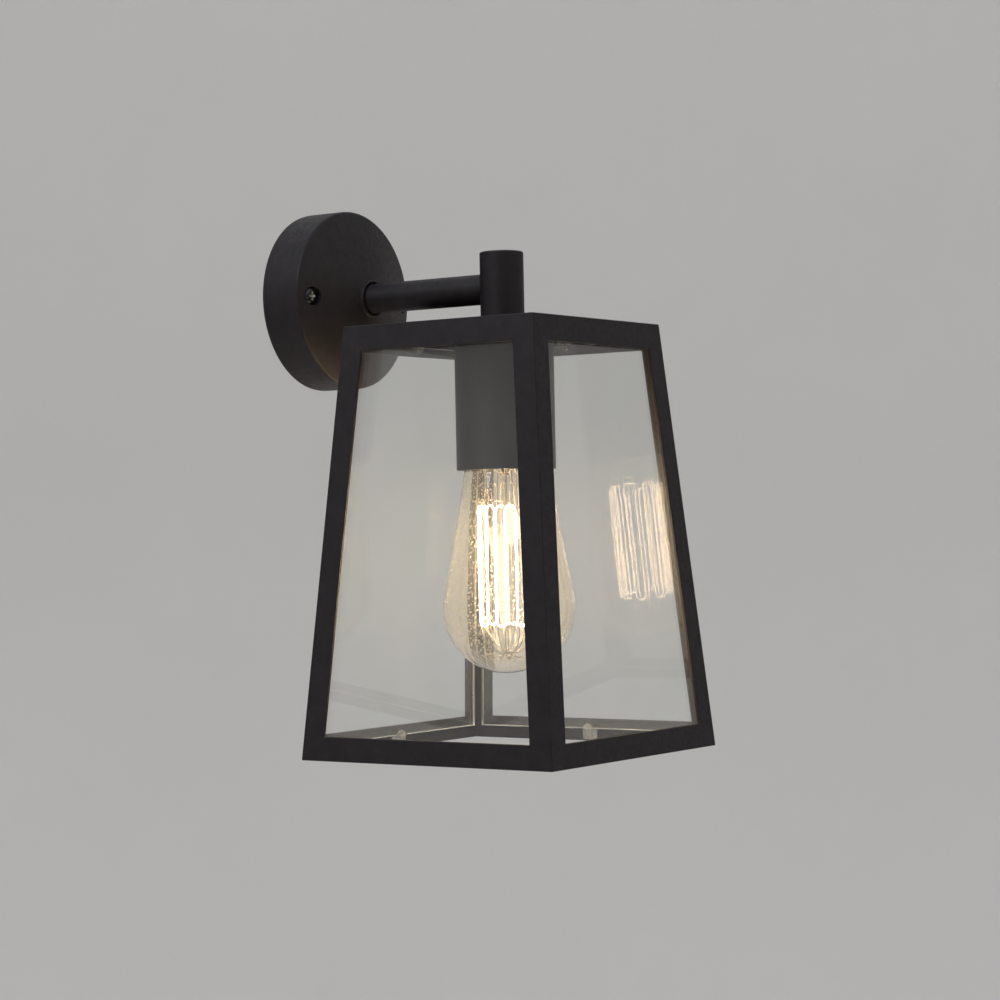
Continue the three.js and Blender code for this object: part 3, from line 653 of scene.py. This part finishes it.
def stadium(half_length, radius):
    """The outline of a slot with round ends."""
    points = []
    for side in (1, -1):
        for step in range(13):
            angle = math.pi * step / 12 - math.pi / 2
            x = half_length + radius * math.cos(angle)
            points.append((side * x, side * radius * math.sin(angle)))
    return points


def collar(place):
    """The short tube on the plate that a canopy screw goes into. It starts inside the plate."""
    root = -1.5
    corners = [
        (COLLAR_INNER, root), (COLLAR_OUTER, root),
        (COLLAR_OUTER, COLLAR_END_Y), (COLLAR_INNER, COLLAR_END_Y),
    ]
    return revolve(corners, place, 48)


plate_rim = [(PLATE_RADIUS * math.cos(a), PLATE_RADIUS * math.sin(a)) for a in angles(128)]
slot_outline = stadium(SLOT_HALF, SLOT_RADIUS)
plate = combined(
    prism(plate_rim, -PLATE_DEPTH, -0.02, outward()),
    ("DIFFERENCE", at_both_screws(lambda place: plug(SCREW_HOLE, *THROUGH, place))),
    ("UNION", at_both_screws(collar)),
    ("DIFFERENCE", prism(slot_outline, *THROUGH, outward(0, SLOT_Z))),
    ("DIFFERENCE", prism(slot_outline, *THROUGH, outward(0, -SLOT_Z))),
    ("DIFFERENCE", plug(CABLE_HOLE, *THROUGH, outward(0, CABLE_Z))),
    ("DIFFERENCE", plug(EARTH_HOLE, *THROUGH, outward(EARTH_X, EARTH_Z), 32)),
)
make("wall_plate", plate, "zinc_steel", "lantern", "mounting_plate", bevel=0.16)

grommet_profile = [
    (3.6, -0.05), (4.9, -0.05), (4.9, -2.1), (7.2, -2.1), (6.6, -4.1), (4.6, -5.4), (3.6, -5.4),
]
grommet = revolve(rounded(grommet_profile, 0.5), outward(0, CABLE_Z), 64)
make("entry_grommet", grommet, "black_rubber", "lantern", "cable_grommet")


# Of the recess's bars: depth from the head's top, half length and half width, outside and inside.
RECESS = ((-0.4, 2.5, 0.62), (1.25, 1.35, 0.38))
RECESS_REACH = 2.6


def cross_recess(x, front):
    """The two tapered bars of the cross that is cut into a screw's head."""
    bars = []
    for turn in (0, 1):
        bm = bmesh.new()
        loops = []
        for depth, length, width in RECESS:
            corners = [(-length, -width), (length, -width), (length, width), (-length, width)]
            if turn:
                corners = [(-v, u) for u, v in corners]
            loops.append([bm.verts.new(outward(x)(u, v, front + depth)) for u, v in corners])
        bm.faces.new(loops[0])
        bm.faces.new(loops[1])
        bridged(bm, *loops)
        bmesh.ops.recalc_face_normals(bm, faces=bm.faces)
        bars.append(bm)
    return bars


for side, x in (("left", -SCREW_X), ("right", SCREW_X)):
    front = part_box(f"canopy_screw_{side}")[0].y / MM
    seat = front + 1.9
    head_profile = [
        (0, -0.6), (1.9, -0.6, 0.4), (1.9, seat, 0.05), (4.3, seat, 0.25),
        (4.3, front + 1.0, 0.6), (3.3, front + 0.12, 1.0), (0, front),
    ]
    screw = combined(
        revolve(rounded(head_profile, 0.3, 5), outward(x), 64),
        *(("DIFFERENCE", bar) for bar in cross_recess(x, front)),
    )
    # Inside the cross the head is bright plated steel, which paints in the glints in the recess.
    for face in screw.faces:
        centre = face.calc_center_median() / MM
        off_axis = math.hypot(centre.x - x, centre.z)
        if off_axis < RECESS_REACH and front + 0.2 < centre.y < seat + 0.5:
            face.material_index = 1
    make(f"cross_screw_{side}", screw, "dark_steel", "lantern", f"canopy_screw_{side}", bevel=0.08,
         extra=(MATERIALS["zinc_steel"],))

# ------------------------------------------------------------------ arm and post

ARM_END_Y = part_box("arm_tube")[0].y / MM
ARM_TAIL_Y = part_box("arm_tube")[1].y / MM
ARM_BORE = 5.5
TAIL_RADIUS = 6.4
SHOULDER_Y = -22
arm_profile = [
    (ARM_BORE, ARM_END_Y), (ARM_RADIUS, ARM_END_Y), (ARM_RADIUS, SHOULDER_Y),
    (TAIL_RADIUS, SHOULDER_Y), (TAIL_RADIUS, ARM_TAIL_Y), (ARM_BORE, ARM_TAIL_Y),
]
arm = revolve(rounded(arm_profile, 0.3), outward())
make("wall_arm", arm, "black_paint", "lantern", "arm_tube")

POST_FOOT = (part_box("post_tube")[0].z - BASE_Z) / MM
POST_TOP = (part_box("post_cap")[1].z - BASE_Z) / MM
ARM_HEIGHT = -BASE_Z / MM
POST_BORE = 9.3
CAP_DEPTH = 5.6
post_profile = [
    (POST_BORE, POST_FOOT), (POST_RADIUS, POST_FOOT), (POST_RADIUS, POST_TOP, 1.1), (0, POST_TOP),
    (0, POST_TOP - CAP_DEPTH), (POST_BORE, POST_TOP - CAP_DEPTH, 1.0),
]


def toward_wall(x, z, y):
    """Places points of a piece on the arm's line, by their distance from the post's axis."""
    return upright(x, y, ARM_HEIGHT + z)


post = combined(
    revolve(rounded(post_profile, 0.3, 5)),
    ("DIFFERENCE", plug(ARM_RADIUS + ARM_GAP, 0, 20, toward_wall, 64)),
)
make("post", post, "black_paint", "lantern", "post_tube", "post_cap")

# The weld beads: one where the arm meets the post, one round the post's foot.
saddle = []
for angle in angles(96):
    x, z = (ARM_RADIUS + 0.25) * math.cos(angle), (ARM_RADIUS + 0.25) * math.sin(angle)
    saddle.append(upright(x, math.sqrt((POST_RADIUS + 0.1) ** 2 - x * x), ARM_HEIGHT + z))
make("arm_weld", tube(saddle, 0.55, 12, closed=True), "black_paint", "lantern")

foot = [
    (POST_RADIUS + 0.05 + 0.6 * math.cos(a), CAGE_HEIGHT + 0.45 + 0.5 * math.sin(a))
    for a in angles(12)
]
make("post_weld", revolve(foot), "black_paint", "lantern")

# ------------------------------------------------------------------ cage

LEG = 12.5
BOTTOM_RAIL = 12.0
TOP_RAIL = 13.0
SHEET = 2.0
FACES = ("front", "right", "back", "left")
CORNERS = ("front_right", "back_right", "back_left", "front_left")


def half_width(height):
    return BOTTOM_REACH - TAPER * height


def quarter_turn(quarter):
    return Matrix.Rotation(quarter * math.pi / 2, 3, "Z")


def cage_shell():
    """The whole welded frame in millimetres: a square tapered tube with a window in each side."""
    bm = bmesh.new()
    corner_rings = {}
    for layer, inset in (("outer", 0.0), ("inner", SHEET)):
        for level, height in (("low", 0.0), ("high", CAGE_HEIGHT)):
            reach = half_width(height) - inset
            corner_rings[layer, level] = [
                bm.verts.new(quarter_turn(q) @ Vector((-reach, -reach, height))) for q in range(4)
            ]
    windows = []
    low, high = BOTTOM_RAIL, CAGE_HEIGHT - TOP_RAIL
    for q in range(4):
        window = {}
        for layer, inset in (("outer", 0.0), ("inner", SHEET)):
            window[layer] = [
                bm.verts.new(
                    quarter_turn(q)
                    @ Vector((side * (half_width(z) - LEG), -(half_width(z) - inset), z))
                )
                for side, z in ((-1, low), (1, low), (1, high), (-1, high))
            ]
        windows.append(window)
    for q in range(4):
        n = (q + 1) % 4
        for layer in ("outer", "inner"):
            frame_corners = [
                corner_rings[layer, "low"][q], corner_rings[layer, "low"][n],
                corner_rings[layer, "high"][n], corner_rings[layer, "high"][q],
            ]
            bridged(bm, frame_corners, windows[q][layer])
        bridged(bm, windows[q]["outer"], windows[q]["inner"])
        for level in ("low", "high"):
            outer, inner = corner_rings["outer", level], corner_rings["inner", level]
            bm.faces.new([outer[q], outer[n], inner[n], inner[q]])
    bmesh.ops.recalc_face_normals(bm, faces=bm.faces)
    sharp = [e for e in bm.edges if e.calc_face_angle() > math.radians(30)]
    bmesh.ops.bevel(
        bm, geom=sharp, offset=0.5, offset_type="OFFSET", segments=3, profile=0.5,
        affect="EDGES", clamp_overlap=True,
    )
    return bm


def trimmed(bm, normal, point):
    """Keeps what lies on the side of a plane that its normal points to, and closes the cut."""
    cut = bmesh.ops.bisect_plane(
        bm, geom=bm.verts[:] + bm.edges[:] + bm.faces[:], dist=1e-4,
        plane_co=point, plane_no=normal, clear_inner=True, clear_outer=False,
    )
    rim = [g for g in cut["geom_cut"] if isinstance(g, bmesh.types.BMEdge) and g.is_valid]
    open_rim = [e for e in rim if len(e.link_faces) == 1]
    if open_rim:
        bmesh.ops.holes_fill(bm, edges=open_rim, sides=0)


# The cage's corners, and the normals of the mitred cuts that part its posts from its rails.
LOW_CORNER = Vector((BOTTOM_REACH, -BOTTOM_REACH, 0.0))
HIGH_CORNER = Vector((TOP_REACH, -TOP_REACH, CAGE_HEIGHT))
LOW_MITRE = Vector((BOTTOM_RAIL, 0, LEG + TAPER * BOTTOM_RAIL))
HIGH_MITRE = Vector((TOP_RAIL, 0, TAPER * TOP_RAIL - LEG))


def across(vector):
    """A vector mirrored in the corner's diagonal."""
    return Vector((-vector.y, -vector.x, vector.z))


def mirrored(vector):
    """A vector mirrored from the right half to the left."""
    return Vector((-vector.x, vector.y, vector.z))


def bar(shell, planes, quarter):
    """The part of the frame that is left by some cuts, turned to its side of the lantern."""
    bm = shell.copy()
    for normal, point in planes:
        trimmed(bm, normal, point)
    turn = quarter_turn(quarter)
    for vertex in bm.verts:
        vertex.co = upright(*(turn @ vertex.co))
    return bm


CENTRE = Vector((0, 0, 0))
POST_PLANES = [
    (Vector((1, 0, 0)), CENTRE), (Vector((0, -1, 0)), CENTRE),
    (LOW_MITRE, LOW_CORNER), (across(LOW_MITRE), LOW_CORNER),
    (HIGH_MITRE, HIGH_CORNER), (across(HIGH_MITRE), HIGH_CORNER),
]


def rail_planes(mitre, corner, upwards):
    """The cuts that leave one rail: half the height, a quarter of the plan, and its mitres."""
    return [
        (Vector((0, 0, upwards)), Vector((0, 0, CAGE_HEIGHT / 2))),
        (Vector((-1, -1, 0)), CENTRE), (Vector((1, -1, 0)), CENTRE),
        (-mitre, corner), (-mirrored(mitre), mirrored(corner)),
    ]


shell = cage_shell()
for quarter in range(4):
    face, corner = FACES[quarter], CORNERS[quarter]
    for kind, planes, node in (
        ("upright_bar", POST_PLANES, f"corner_post_{corner}"),
        ("lower_bar", rail_planes(LOW_MITRE, LOW_CORNER, -1), f"bottom_rail_{face}"),
        ("upper_bar", rail_planes(HIGH_MITRE, HIGH_CORNER, 1), f"top_rail_{face}"),
    ):
        name = f"{kind}_{corner if kind == 'upright_bar' else face}"
        make(name, bar(shell, planes, quarter), "black_paint", "lantern", node)
shell.free()

# ------------------------------------------------------------------ panes and their clips

# Heights on a face are measured up its slope.
FACE_HEIGHT = CAGE_HEIGHT / math.cos(SLOPE)
PANE_LAP = 5.0
PANE_LOW = BOTTOM_RAIL - PANE_LAP
PANE_HIGH = FACE_HEIGHT - TOP_RAIL + PANE_LAP
PANE_OUT = -2.15
PANE_IN = PANE_OUT - 3.0
ARRIS = 0.35


def face_place(quarter):
    """Places a face's own points: x across, y up the slope from the bottom edge and z outwards."""
    lie = (
        Matrix.Rotation(quarter * math.pi / 2, 4, "Z")
        @ Matrix.Translation((0, -BOTTOM_REACH, 0))
        @ Matrix.Rotation(math.pi / 2 - SLOPE, 4, "X")
    )
    return lambda x, y, z: upright(*(lie @ Vector((x, y, z))))


def pane(place):
    """A pane with ground and chamfered edges, which have the second material."""
    bm = bmesh.new()
    loops = []
    for z, inset in (
        (PANE_OUT, ARRIS), (PANE_OUT - ARRIS, 0), (PANE_IN + ARRIS, 0), (PANE_IN, ARRIS),
    ):
        loop = []
        for side, y in ((-1, PANE_LOW), (1, PANE_LOW), (1, PANE_HIGH), (-1, PANE_HIGH)):
            reach = BOTTOM_REACH - math.sin(SLOPE) * y - LEG + PANE_LAP - inset
            inward = inset if y == PANE_LOW else -inset
            loop.append(bm.verts.new(place(side * reach, y + inward, z)))
        loops.append(loop)
    bm.faces.new(loops[0])
    bm.faces.new(loops[-1])
    for a, b in zip(loops, loops[1:]):
        for edge in bridged(bm, a, b):
            edge.material_index = 1
    bmesh.ops.recalc_face_normals(bm, faces=bm.faces)
    return bm


CLIP_HALF = 3.0
CLIP_FOOT = 5.4
CLIP_TONGUE = 3.0
CLIP_DEPTH = 1.3
OFF_AXIS = 100


def clip(place, edge, away):
    """A moulded clip with a round end: its foot is on the bar and its tongue over the glass."""
    bar_face = -SHEET - 0.1
    back = PANE_IN - 0.2
    side = [
        (bar_face, 0.3, 0.2), (bar_face, CLIP_FOOT, 0.4), (back - CLIP_DEPTH, CLIP_FOOT, 0.6),
        (back - CLIP_DEPTH, -CLIP_TONGUE, 0.7), (back, -CLIP_TONGUE, 0.1), (back, 0.3, 0.2),
    ]
    # rounded() takes a first number of zero for the axis, so the outline is moved away from it.
    shifted = rounded([(z + OFF_AXIS, edge + away * reach, r) for z, reach, r in side], 0.3, 5)
    block = prism(
        [tuple(p) for p in shifted], -5, 5, lambda z, y, x: place(x, y, z - OFF_AXIS)
    )
    plan = [(-CLIP_HALF, edge + away * (CLIP_FOOT + 1)), (CLIP_HALF, edge + away * (CLIP_FOOT + 1))]
    for step in range(25):
        angle = math.pi * step / 24
        reach = CLIP_HALF - CLIP_TONGUE - CLIP_HALF * math.sin(angle)
        plan.append((CLIP_HALF * math.cos(angle), edge + away * reach))
    return combined(block, ("INTERSECT", prism(plan, -12, 0, place)))


for quarter, face in enumerate(FACES):
    place = face_place(quarter)
    make(f"pane_{face}", pane(place), "pane_glass", "lantern", f"glass_pane_{face}",
         sharp=20.0, extra=(ground_edge.material,))
    make(f"pane_clip_bottom_{face}", clip(place, PANE_LOW, -1), "clip_plastic", "lantern",
         f"glass_clip_bottom_{face}", bevel=0.35)
    make(f"pane_clip_top_{face}", clip(place, PANE_HIGH, 1), "clip_plastic", "lantern",
         f"glass_clip_top_{face}", bevel=0.35)

# ------------------------------------------------------------------ lampholder

CUP_LOW = (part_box("lampholder_cup")[0].z - BASE_Z) / MM
CUP_HIGH = (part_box("lampholder_cup")[1].z - BASE_Z) / MM
CUP_SHEET = 1.2
NIPPLE_HOLE = 5.2
cup_profile = [
    (CUP_RADIUS - CUP_SHEET, CUP_LOW, 0.35),
    (CUP_RADIUS, CUP_LOW, 0.5),
    (CUP_RADIUS, CUP_HIGH, 1.2),
    (NIPPLE_HOLE, CUP_HIGH, 0.2),
    (NIPPLE_HOLE, CUP_HIGH - CUP_SHEET, 0.2),
    (CUP_RADIUS - CUP_SHEET, CUP_HIGH - CUP_SHEET, 0.8),
]
make("holder_cup", revolve(rounded(cup_profile, 0.3, 4), upright, 128), "black_paint", "lantern",
     "lampholder_cup")

BODY_TOP = 206.6
BODY_BORE = 14.9
BODY_CEILING = 195
BODY_RADIUS = 20.4
body_profile = [
    (NIPPLE_HOLE, BODY_TOP), (NIPPLE_HOLE, BODY_CEILING), (BODY_BORE, BODY_CEILING),
    (BODY_BORE, 164, 0.8), (18.4, 158.5, 1.5), (19.4, 158, 0.8), (BODY_RADIUS, 159, 0.8),
    (BODY_RADIUS, 199, 2.0), (18.6, 202, 2.0), (12, 204.4, 1.0), (12, BODY_TOP),
]
make("holder_body", revolve(rounded(body_profile, 0.5, 4)), "porcelain", "lantern",
     "lampholder_body")

PITCH = 3.63
FADE = 1.5


def knuckle_thread(low, high, depth, sign):
    """A round thread between two heights, that fades out at its ends."""

    def radius_at(radius, height, angle):
        if not low < height < high:
            return radius
        fade = min(1.0, (height - low) / FADE, (high - height) / FADE)
        wave = 0.5 - 0.5 * math.cos(2 * math.pi * height / PITCH - angle)
        return radius + sign * depth * fade * wave

    return radius_at


def ladder(radius, low, high):
    """Closely spaced points on a straight wall, for a thread to bend."""
    count = round(abs(high - low) / 0.33)
    return [(radius, low + (high - low) * i / count) for i in range(count + 1)]


SHELL_RADIUS = 14.6
SHELL_BORE = 13.9
SHELL_THREAD = (166.6, 190.5)
shell_profile = [
    (SHELL_RADIUS, 165.5), (SHELL_RADIUS, 192.5), (6.8, 192.5), (6.8, 192), (SHELL_BORE, 192),
    *ladder(SHELL_BORE - 0.05, *reversed(SHELL_THREAD)), (SHELL_BORE, 165.5),
]
inner_thread = knuckle_thread(*SHELL_THREAD, 0.35, -1)


def shell_radius(radius, height, angle):
    """Threads the shell's inner wall only."""
    return inner_thread(radius, height, angle) if radius < SHELL_BORE - 0.02 else radius


make("holder_shell", revolve(shell_profile, upright, 72, shell_radius), "brass", "lantern",
     "lampholder_shell")

# ------------------------------------------------------------------ lamp

TIP = (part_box("lamp_glass")[0].z - BASE_Z) / MM
BULB = span("lamp_glass", 0) / 2 / MM
CENTRE_HEIGHT = TIP + BULB
GLASS_TAPER = math.radians(10.3)
GLASS_WALL = 0.8
SHOULDER_RADIUS = 20.3
SHOULDER_HEIGHT = 142.5
NECK_RADIUS = 12.2
NECK_TOP = 163.6


def bezier(points, steps):
    """Points on a cubic curve, without its start."""
    a, b, c, d = (Vector(p) for p in points)
    curve = []
    for step in range(1, steps + 1):
        t = step / steps
        s = 1 - t
        curve.append(s ** 3 * a + 3 * s * s * t * b + 3 * s * t * t * c + t ** 3 * d)
    return curve


def envelope(inset):
    """The bulb's outline: a round bottom, a straight taper and a shoulder into the neck."""
    radius = BULB - inset
    points = []
    for step in range(33):
        angle = -math.pi / 2 + (GLASS_TAPER + math.pi / 2) * step / 32
        points.append((max(0.0, radius * math.cos(angle)), CENTRE_HEIGHT + radius * math.sin(angle)))
    points[0] = (0.0, CENTRE_HEIGHT - radius)
    shoulder_start = (SHOULDER_RADIUS - inset, SHOULDER_HEIGHT)
    last = points[-1]
    for step in range(1, 9):
        t = step / 8
        points.append(tuple(a + (b - a) * t for a, b in zip(last, shoulder_start)))
    neck = NECK_RADIUS - inset
    curve = bezier((shoulder_start, (19 - inset, 149.6), (neck, 152), (neck, NECK_TOP)), 16)
    return points + [tuple(p) for p in curve]


bulb_profile = envelope(0) + envelope(GLASS_WALL)[::-1]
make("bulb", revolve(bulb_profile, upright, 128), "lamp_glass", "lamp", "lamp_glass", sharp=60.0)

stem_profile = [
    (0, 46.6), (1.5, 46.7, 0.8), (1.9, 48.0, 0.8), (1.15, 49.6, 0.8), (1.15, 142.0, 2.0),
    (2.7, 144.5, 1.5), (3.6, 148, 2.0), (3.8, 154, 2.5), (6.5, 159.5, 2.5), (10.8, 162.5, 0.3),
    (10.8, 163.3, 0.2), (0, 163.3),
]
glass_stem = revolve(rounded(stem_profile, 0.5, 5), upright, 48)
make("glass_stem", glass_stem, "stem_glass", "lamp", "lamp_stem", sharp=60.0)

STRANDS = 16
CAGE_RADIUS = 13.6
FILAMENT_HIGH = 124.5
FILAMENT_LOW = 64.0
FILAMENT_RADIUS = 0.33
BEND = 3.2


def on_cage(turn, height, radius=CAGE_RADIUS):
    """A point on the filament's cage. One turn is the step from one strand to the next."""
    angle = 2 * math.pi * turn / STRANDS
    return upright(radius * math.cos(angle), radius * math.sin(angle), height)


filament_path = []
for strand in range(STRANDS):
    rising = strand % 2 == 1
    first, last = (FILAMENT_LOW, FILAMENT_HIGH) if rising else (FILAMENT_HIGH, FILAMENT_LOW)
    sign = 1 if rising else -1
    start, end = first + sign * BEND, last - sign * BEND
    for step in range(9):
        t = step / 8
        sway = 0.25 * math.sin(2.3 * strand + 5.0 * t) * math.sin(math.pi * t)
        height = start + (end - start) * t
        filament_path.append(on_cage(strand + 0.5, height, CAGE_RADIUS + sway))
    if strand < STRANDS - 1:
        for step in range(1, 8):
            angle = math.pi * step / 8
            filament_path.append(
                on_cage(
                    strand + 1 - 0.5 * math.cos(angle),
                    end + sign * BEND * math.sin(angle),
                    CAGE_RADIUS - 0.5 * math.sin(angle),
                )
            )
filament = tube(filament_path, FILAMENT_RADIUS, 8)
make("filament", filament, "hot_filament", "lamp", "lamp_filament", sharp=60.0)

# The support wires, from the stem's rod to the filament: (radius, height).
UPPER_ROUTE = (
    (1.9, 140.5), (5.5, 142.9), (9.5, 143.8), (12.4, 142.0), (13.4, 137.0), (13.6, 126.4),
)
LOWER_ROUTE = ((1.9, 50.5), (4.2, 50.3), (7.0, 51.3), (10.2, 54.0), (12.6, 58.0), (13.6, 62.2))
SPUR_ROUTE = ((1.9, 50.1), (4.2, 48.4), (6.4, 48.0), (7.8, 49.0))
LEG_SPREAD = 0.28
# Where a wire goes through a bend of the filament: (turn, radius, reach beyond the bend).
HOOK = (
    (-0.24, 13.85, 0.1), (-0.13, 13.6, 1.1), (0, 13.25, 1.35), (0.13, 12.9, 1.1), (0.24, 12.5, 0.1),
)
HUB_INNER = 1.35
HUB_OUTER = 2.3
HUB_HALF = 0.8
SUPPORT_RADIUS = 0.22


def flowing(points):
    """A smooth curve through points."""
    steps = 4
    ends = [2 * points[0] - points[1], *points, 2 * points[-1] - points[-2]]
    curve = []
    for a, b, c, d in zip(ends, ends[1:], ends[2:], ends[3:]):
        for step in range(steps):
            t = step / steps
            curve.append(
                0.5 * (2 * b + (c - a) * t + (2 * a - 5 * b + 4 * c - d) * t * t
                       + (3 * b - a - 3 * c + d) * t ** 3)
            )
    return curve + [points[-1]]


def support(route, bend_height, through, phase):
    """A hub on the stem's rod, with hairpins of thin wire that hook through the filament's bends."""
    low, high = route[0][1] - HUB_HALF, route[0][1] + HUB_HALF
    hub = [(HUB_INNER, low), (HUB_OUTER, low), (HUB_OUTER, high), (HUB_INNER, high)]
    parts = [revolve(rounded(hub, 0.3), upright, 32)]
    for arm in range(STRANDS // 2):
        turn = 2 * (arm + phase)
        points = [on_cage(turn - LEG_SPREAD, height, radius) for radius, height in route]
        points += [
            on_cage(turn + side, bend_height + through * reach, radius) for side, radius, reach in HOOK
        ]
        points += [
            on_cage(turn + LEG_SPREAD, height, radius - 0.5 * min(1, radius / 10))
            for radius, height in reversed(route)
        ]
        parts.append(tube(flowing(points), SUPPORT_RADIUS, 6))
    return parts


upper_support = merged(*support(UPPER_ROUTE, FILAMENT_HIGH, -1, 0.0))
make("support_upper", upper_support, "support_wire", "lamp", "lamp_support_top", sharp=60.0)
spurs = []
for spur in range(STRANDS // 2):
    points = [on_cage(2 * spur, height, radius) for radius, height in SPUR_ROUTE]
    spurs.append(tube(flowing(points), SUPPORT_RADIUS, 6))
lower_support = merged(*support(LOWER_ROUTE, FILAMENT_LOW, 1, 0.5), *spurs)
make("support_lower", lower_support, "support_wire", "lamp", "lamp_support_bottom", sharp=60.0)

# The lead wires bend from the stem's pinch to the filament's two ends.
LEAD_RADIUS = 0.32
leads = []
for side, turn in ((1, 0.5), (-1, STRANDS - 0.5)):
    root = upright(2.0, side * 1.6, 150.0)
    tip = on_cage(turn, FILAMENT_HIGH - BEND)
    elbow = on_cage(turn, FILAMENT_HIGH + 14.0, 12.5)
    route = []
    for step in range(17):
        t = step / 16
        route.append((1 - t) ** 2 * root + 2 * t * (1 - t) * elbow + t * t * tip)
    leads.append(tube(route, LEAD_RADIUS, 8))
make("lead_wires", merged(*leads), "support_wire", "lamp", sharp=60.0)

CAP_LOW = 161.0
CAP_HIGH = 184.6
CAP_RADIUS = 13.2
CAP_INNER = 12.85
THREAD_ROOT = 12.44
CAP_THREAD = (165.2, 183.4)
cap_thread = knuckle_thread(*CAP_THREAD, 0.62, 1)
cap_profile = [
    (CAP_INNER, CAP_LOW), (13.0, CAP_LOW), (CAP_RADIUS, CAP_LOW + 0.2), (CAP_RADIUS, 164.2),
    (13.0, 164.5), (12.45, 164.9), *ladder(THREAD_ROOT, *CAP_THREAD), (12.1, 183.9),
    (11.2, CAP_HIGH), (10.2, CAP_HIGH), (11.4, 182.6), (11.6, 164.2), (CAP_INNER, 163.8),
]


def cap_radius(radius, height, angle):
    """Threads the cap's outer wall only."""
    on_wall = abs(radius - THREAD_ROOT) < 0.003
    return cap_thread(radius, height, angle) if on_wall else radius


make("screw_cap", revolve(cap_profile, upright, 96, cap_radius), "brass", "lamp", "lamp_cap",
     sharp=60.0)
insulator_profile = [(0, 184), (9.6, 184), (10, 185, 0.4), (5.2, 187.3, 0.6), (0, 187.3)]
make("cap_insulator", revolve(rounded(insulator_profile, 0.3, 5), upright, 64), "black_glass", "lamp",
     "lamp_insulator")
contact_profile = [(0, 187.4), (4.8, 187.4, 0.2), (4.6, 188, 0.4), (3, 188.6, 0.8), (0, 188.6)]
make("cap_contact", revolve(rounded(contact_profile, 0.3, 5), upright, 48), "brass", "lamp",
     "lamp_contact")

# ------------------------------------------------------------------ CAD nodes that stay

# The width of each one's bevel in millimetres. The wires have no edges to soften.
KEPT_EDGES = {
    "earth_screw": 0.15, "terminal_block": 0.3, "terminal_screw_live": 0.1,
    "terminal_screw_neutral": 0.1, "arm_washer": 0.15, "arm_lock_nut": 0.3,
    "screw_seal_left": 0.12, "screw_seal_right": 0.12, "post_bush": 0.2, "roof_plate": 0.25,
    "nipple": 0.2, "nipple_nut": 0.3, "lampholder_contact": 0.1, "wire_live": 0.0,
    "wire_neutral": 0.0,
}
for node, width in KEPT_EDGES.items():
    ob = NODES[node]
    slot = ob.material_slots[0].material.name.split(".")[0]
    ob.material_slots[0].material = MATERIALS[slot]
    weld = ob.modifiers.new("weld", "WELD")
    weld.merge_threshold = 1e-6
    if width:
        soften(ob, width)
    weighted = ob.modifiers.new("weighted", "WEIGHTED_NORMAL")
    weighted.keep_sharp = True

# ------------------------------------------------------------------ studio

floor_paint = Paint("pale_floor", Metallic=0.0)
floor_paint.colour(floor_paint.noise(400.0, 4.0), (0.3, rgb(0xD9D7D4)), (0.7, rgb(0xDBD9D6)))
floor_paint.rough(floor_paint.noise(60.0), 0.7, 0.85)
floor_paint.bump(floor_paint.noise(12.0, 4.0), 0.1, 0.2)

# A round floor that curves up into a wall all round, in metres.
FLOOR_DROP = 1.6
FLOOR_RADIUS = 2.2
CURVE_RADIUS = 1.6
WALL_TOP = 3.2
BOWL_SIDES = 96
bowl_profile = []
for step in range(25):
    angle = math.pi / 2 * step / 24
    radius = FLOOR_RADIUS + CURVE_RADIUS * math.sin(angle)
    bowl_profile.append((radius, -FLOOR_DROP + CURVE_RADIUS * (1 - math.cos(angle))))
bowl_profile.append((FLOOR_RADIUS + CURVE_RADIUS, WALL_TOP))
bowl = bmesh.new()
floor_middle = bowl.verts.new((0, AXIS_Y, -FLOOR_DROP))
rings = [
    [
        bowl.verts.new((radius * math.cos(a), AXIS_Y + radius * math.sin(a), height))
        for a in angles(BOWL_SIDES)
    ]
    for radius, height in bowl_profile
]
for i in range(BOWL_SIDES):
    bowl.faces.new([floor_middle, rings[0][(i + 1) % BOWL_SIDES], rings[0][i]])
for a, b in zip(rings, rings[1:]):
    bridged(bowl, a, b)
floor_mesh = bpy.data.meshes.new("floor")
bowl.to_mesh(floor_mesh)
bowl.free()
floor_mesh.shade_smooth()
floor_mesh.materials.append(floor_paint.material)
floor = bpy.data.objects.new("floor", floor_mesh)
bpy.context.scene.collection.objects.link(floor)

bpy.context.scene.view_settings.view_transform = "Standard"
world = bpy.data.worlds.new("studio")
world.use_nodes = True
background = world.node_tree.nodes["Background"]
background.inputs["Color"].default_value = (0.90, 0.92, 0.965, 1.0)
background.inputs["Strength"].default_value = 0.86
bpy.context.scene.world = world


LANTERN_MIDDLE = Vector((0, AXIS_Y, BASE_Z / 2))
SOFTBOX_SIZE = 1.6


def softbox(name, place, watts, colour):
    """A round lamp that faces the lantern."""
    data = bpy.data.lights.new(name, "AREA")
    data.shape = "DISK"
    data.size = SOFTBOX_SIZE
    data.energy = watts
    data.color = colour
    light = bpy.data.objects.new(name, data)
    light.location = place
    light.rotation_euler = (LANTERN_MIDDLE - Vector(place)).to_track_quat("-Z", "Y").to_euler()
    bpy.context.scene.collection.objects.link(light)


softbox("left_softbox", (-2.2, 0.4, 1.5), 34, (0.90, 0.94, 1.0))
softbox("front_softbox", (0.6, -2.6, 1.3), 8, (1.0, 0.95, 0.88))
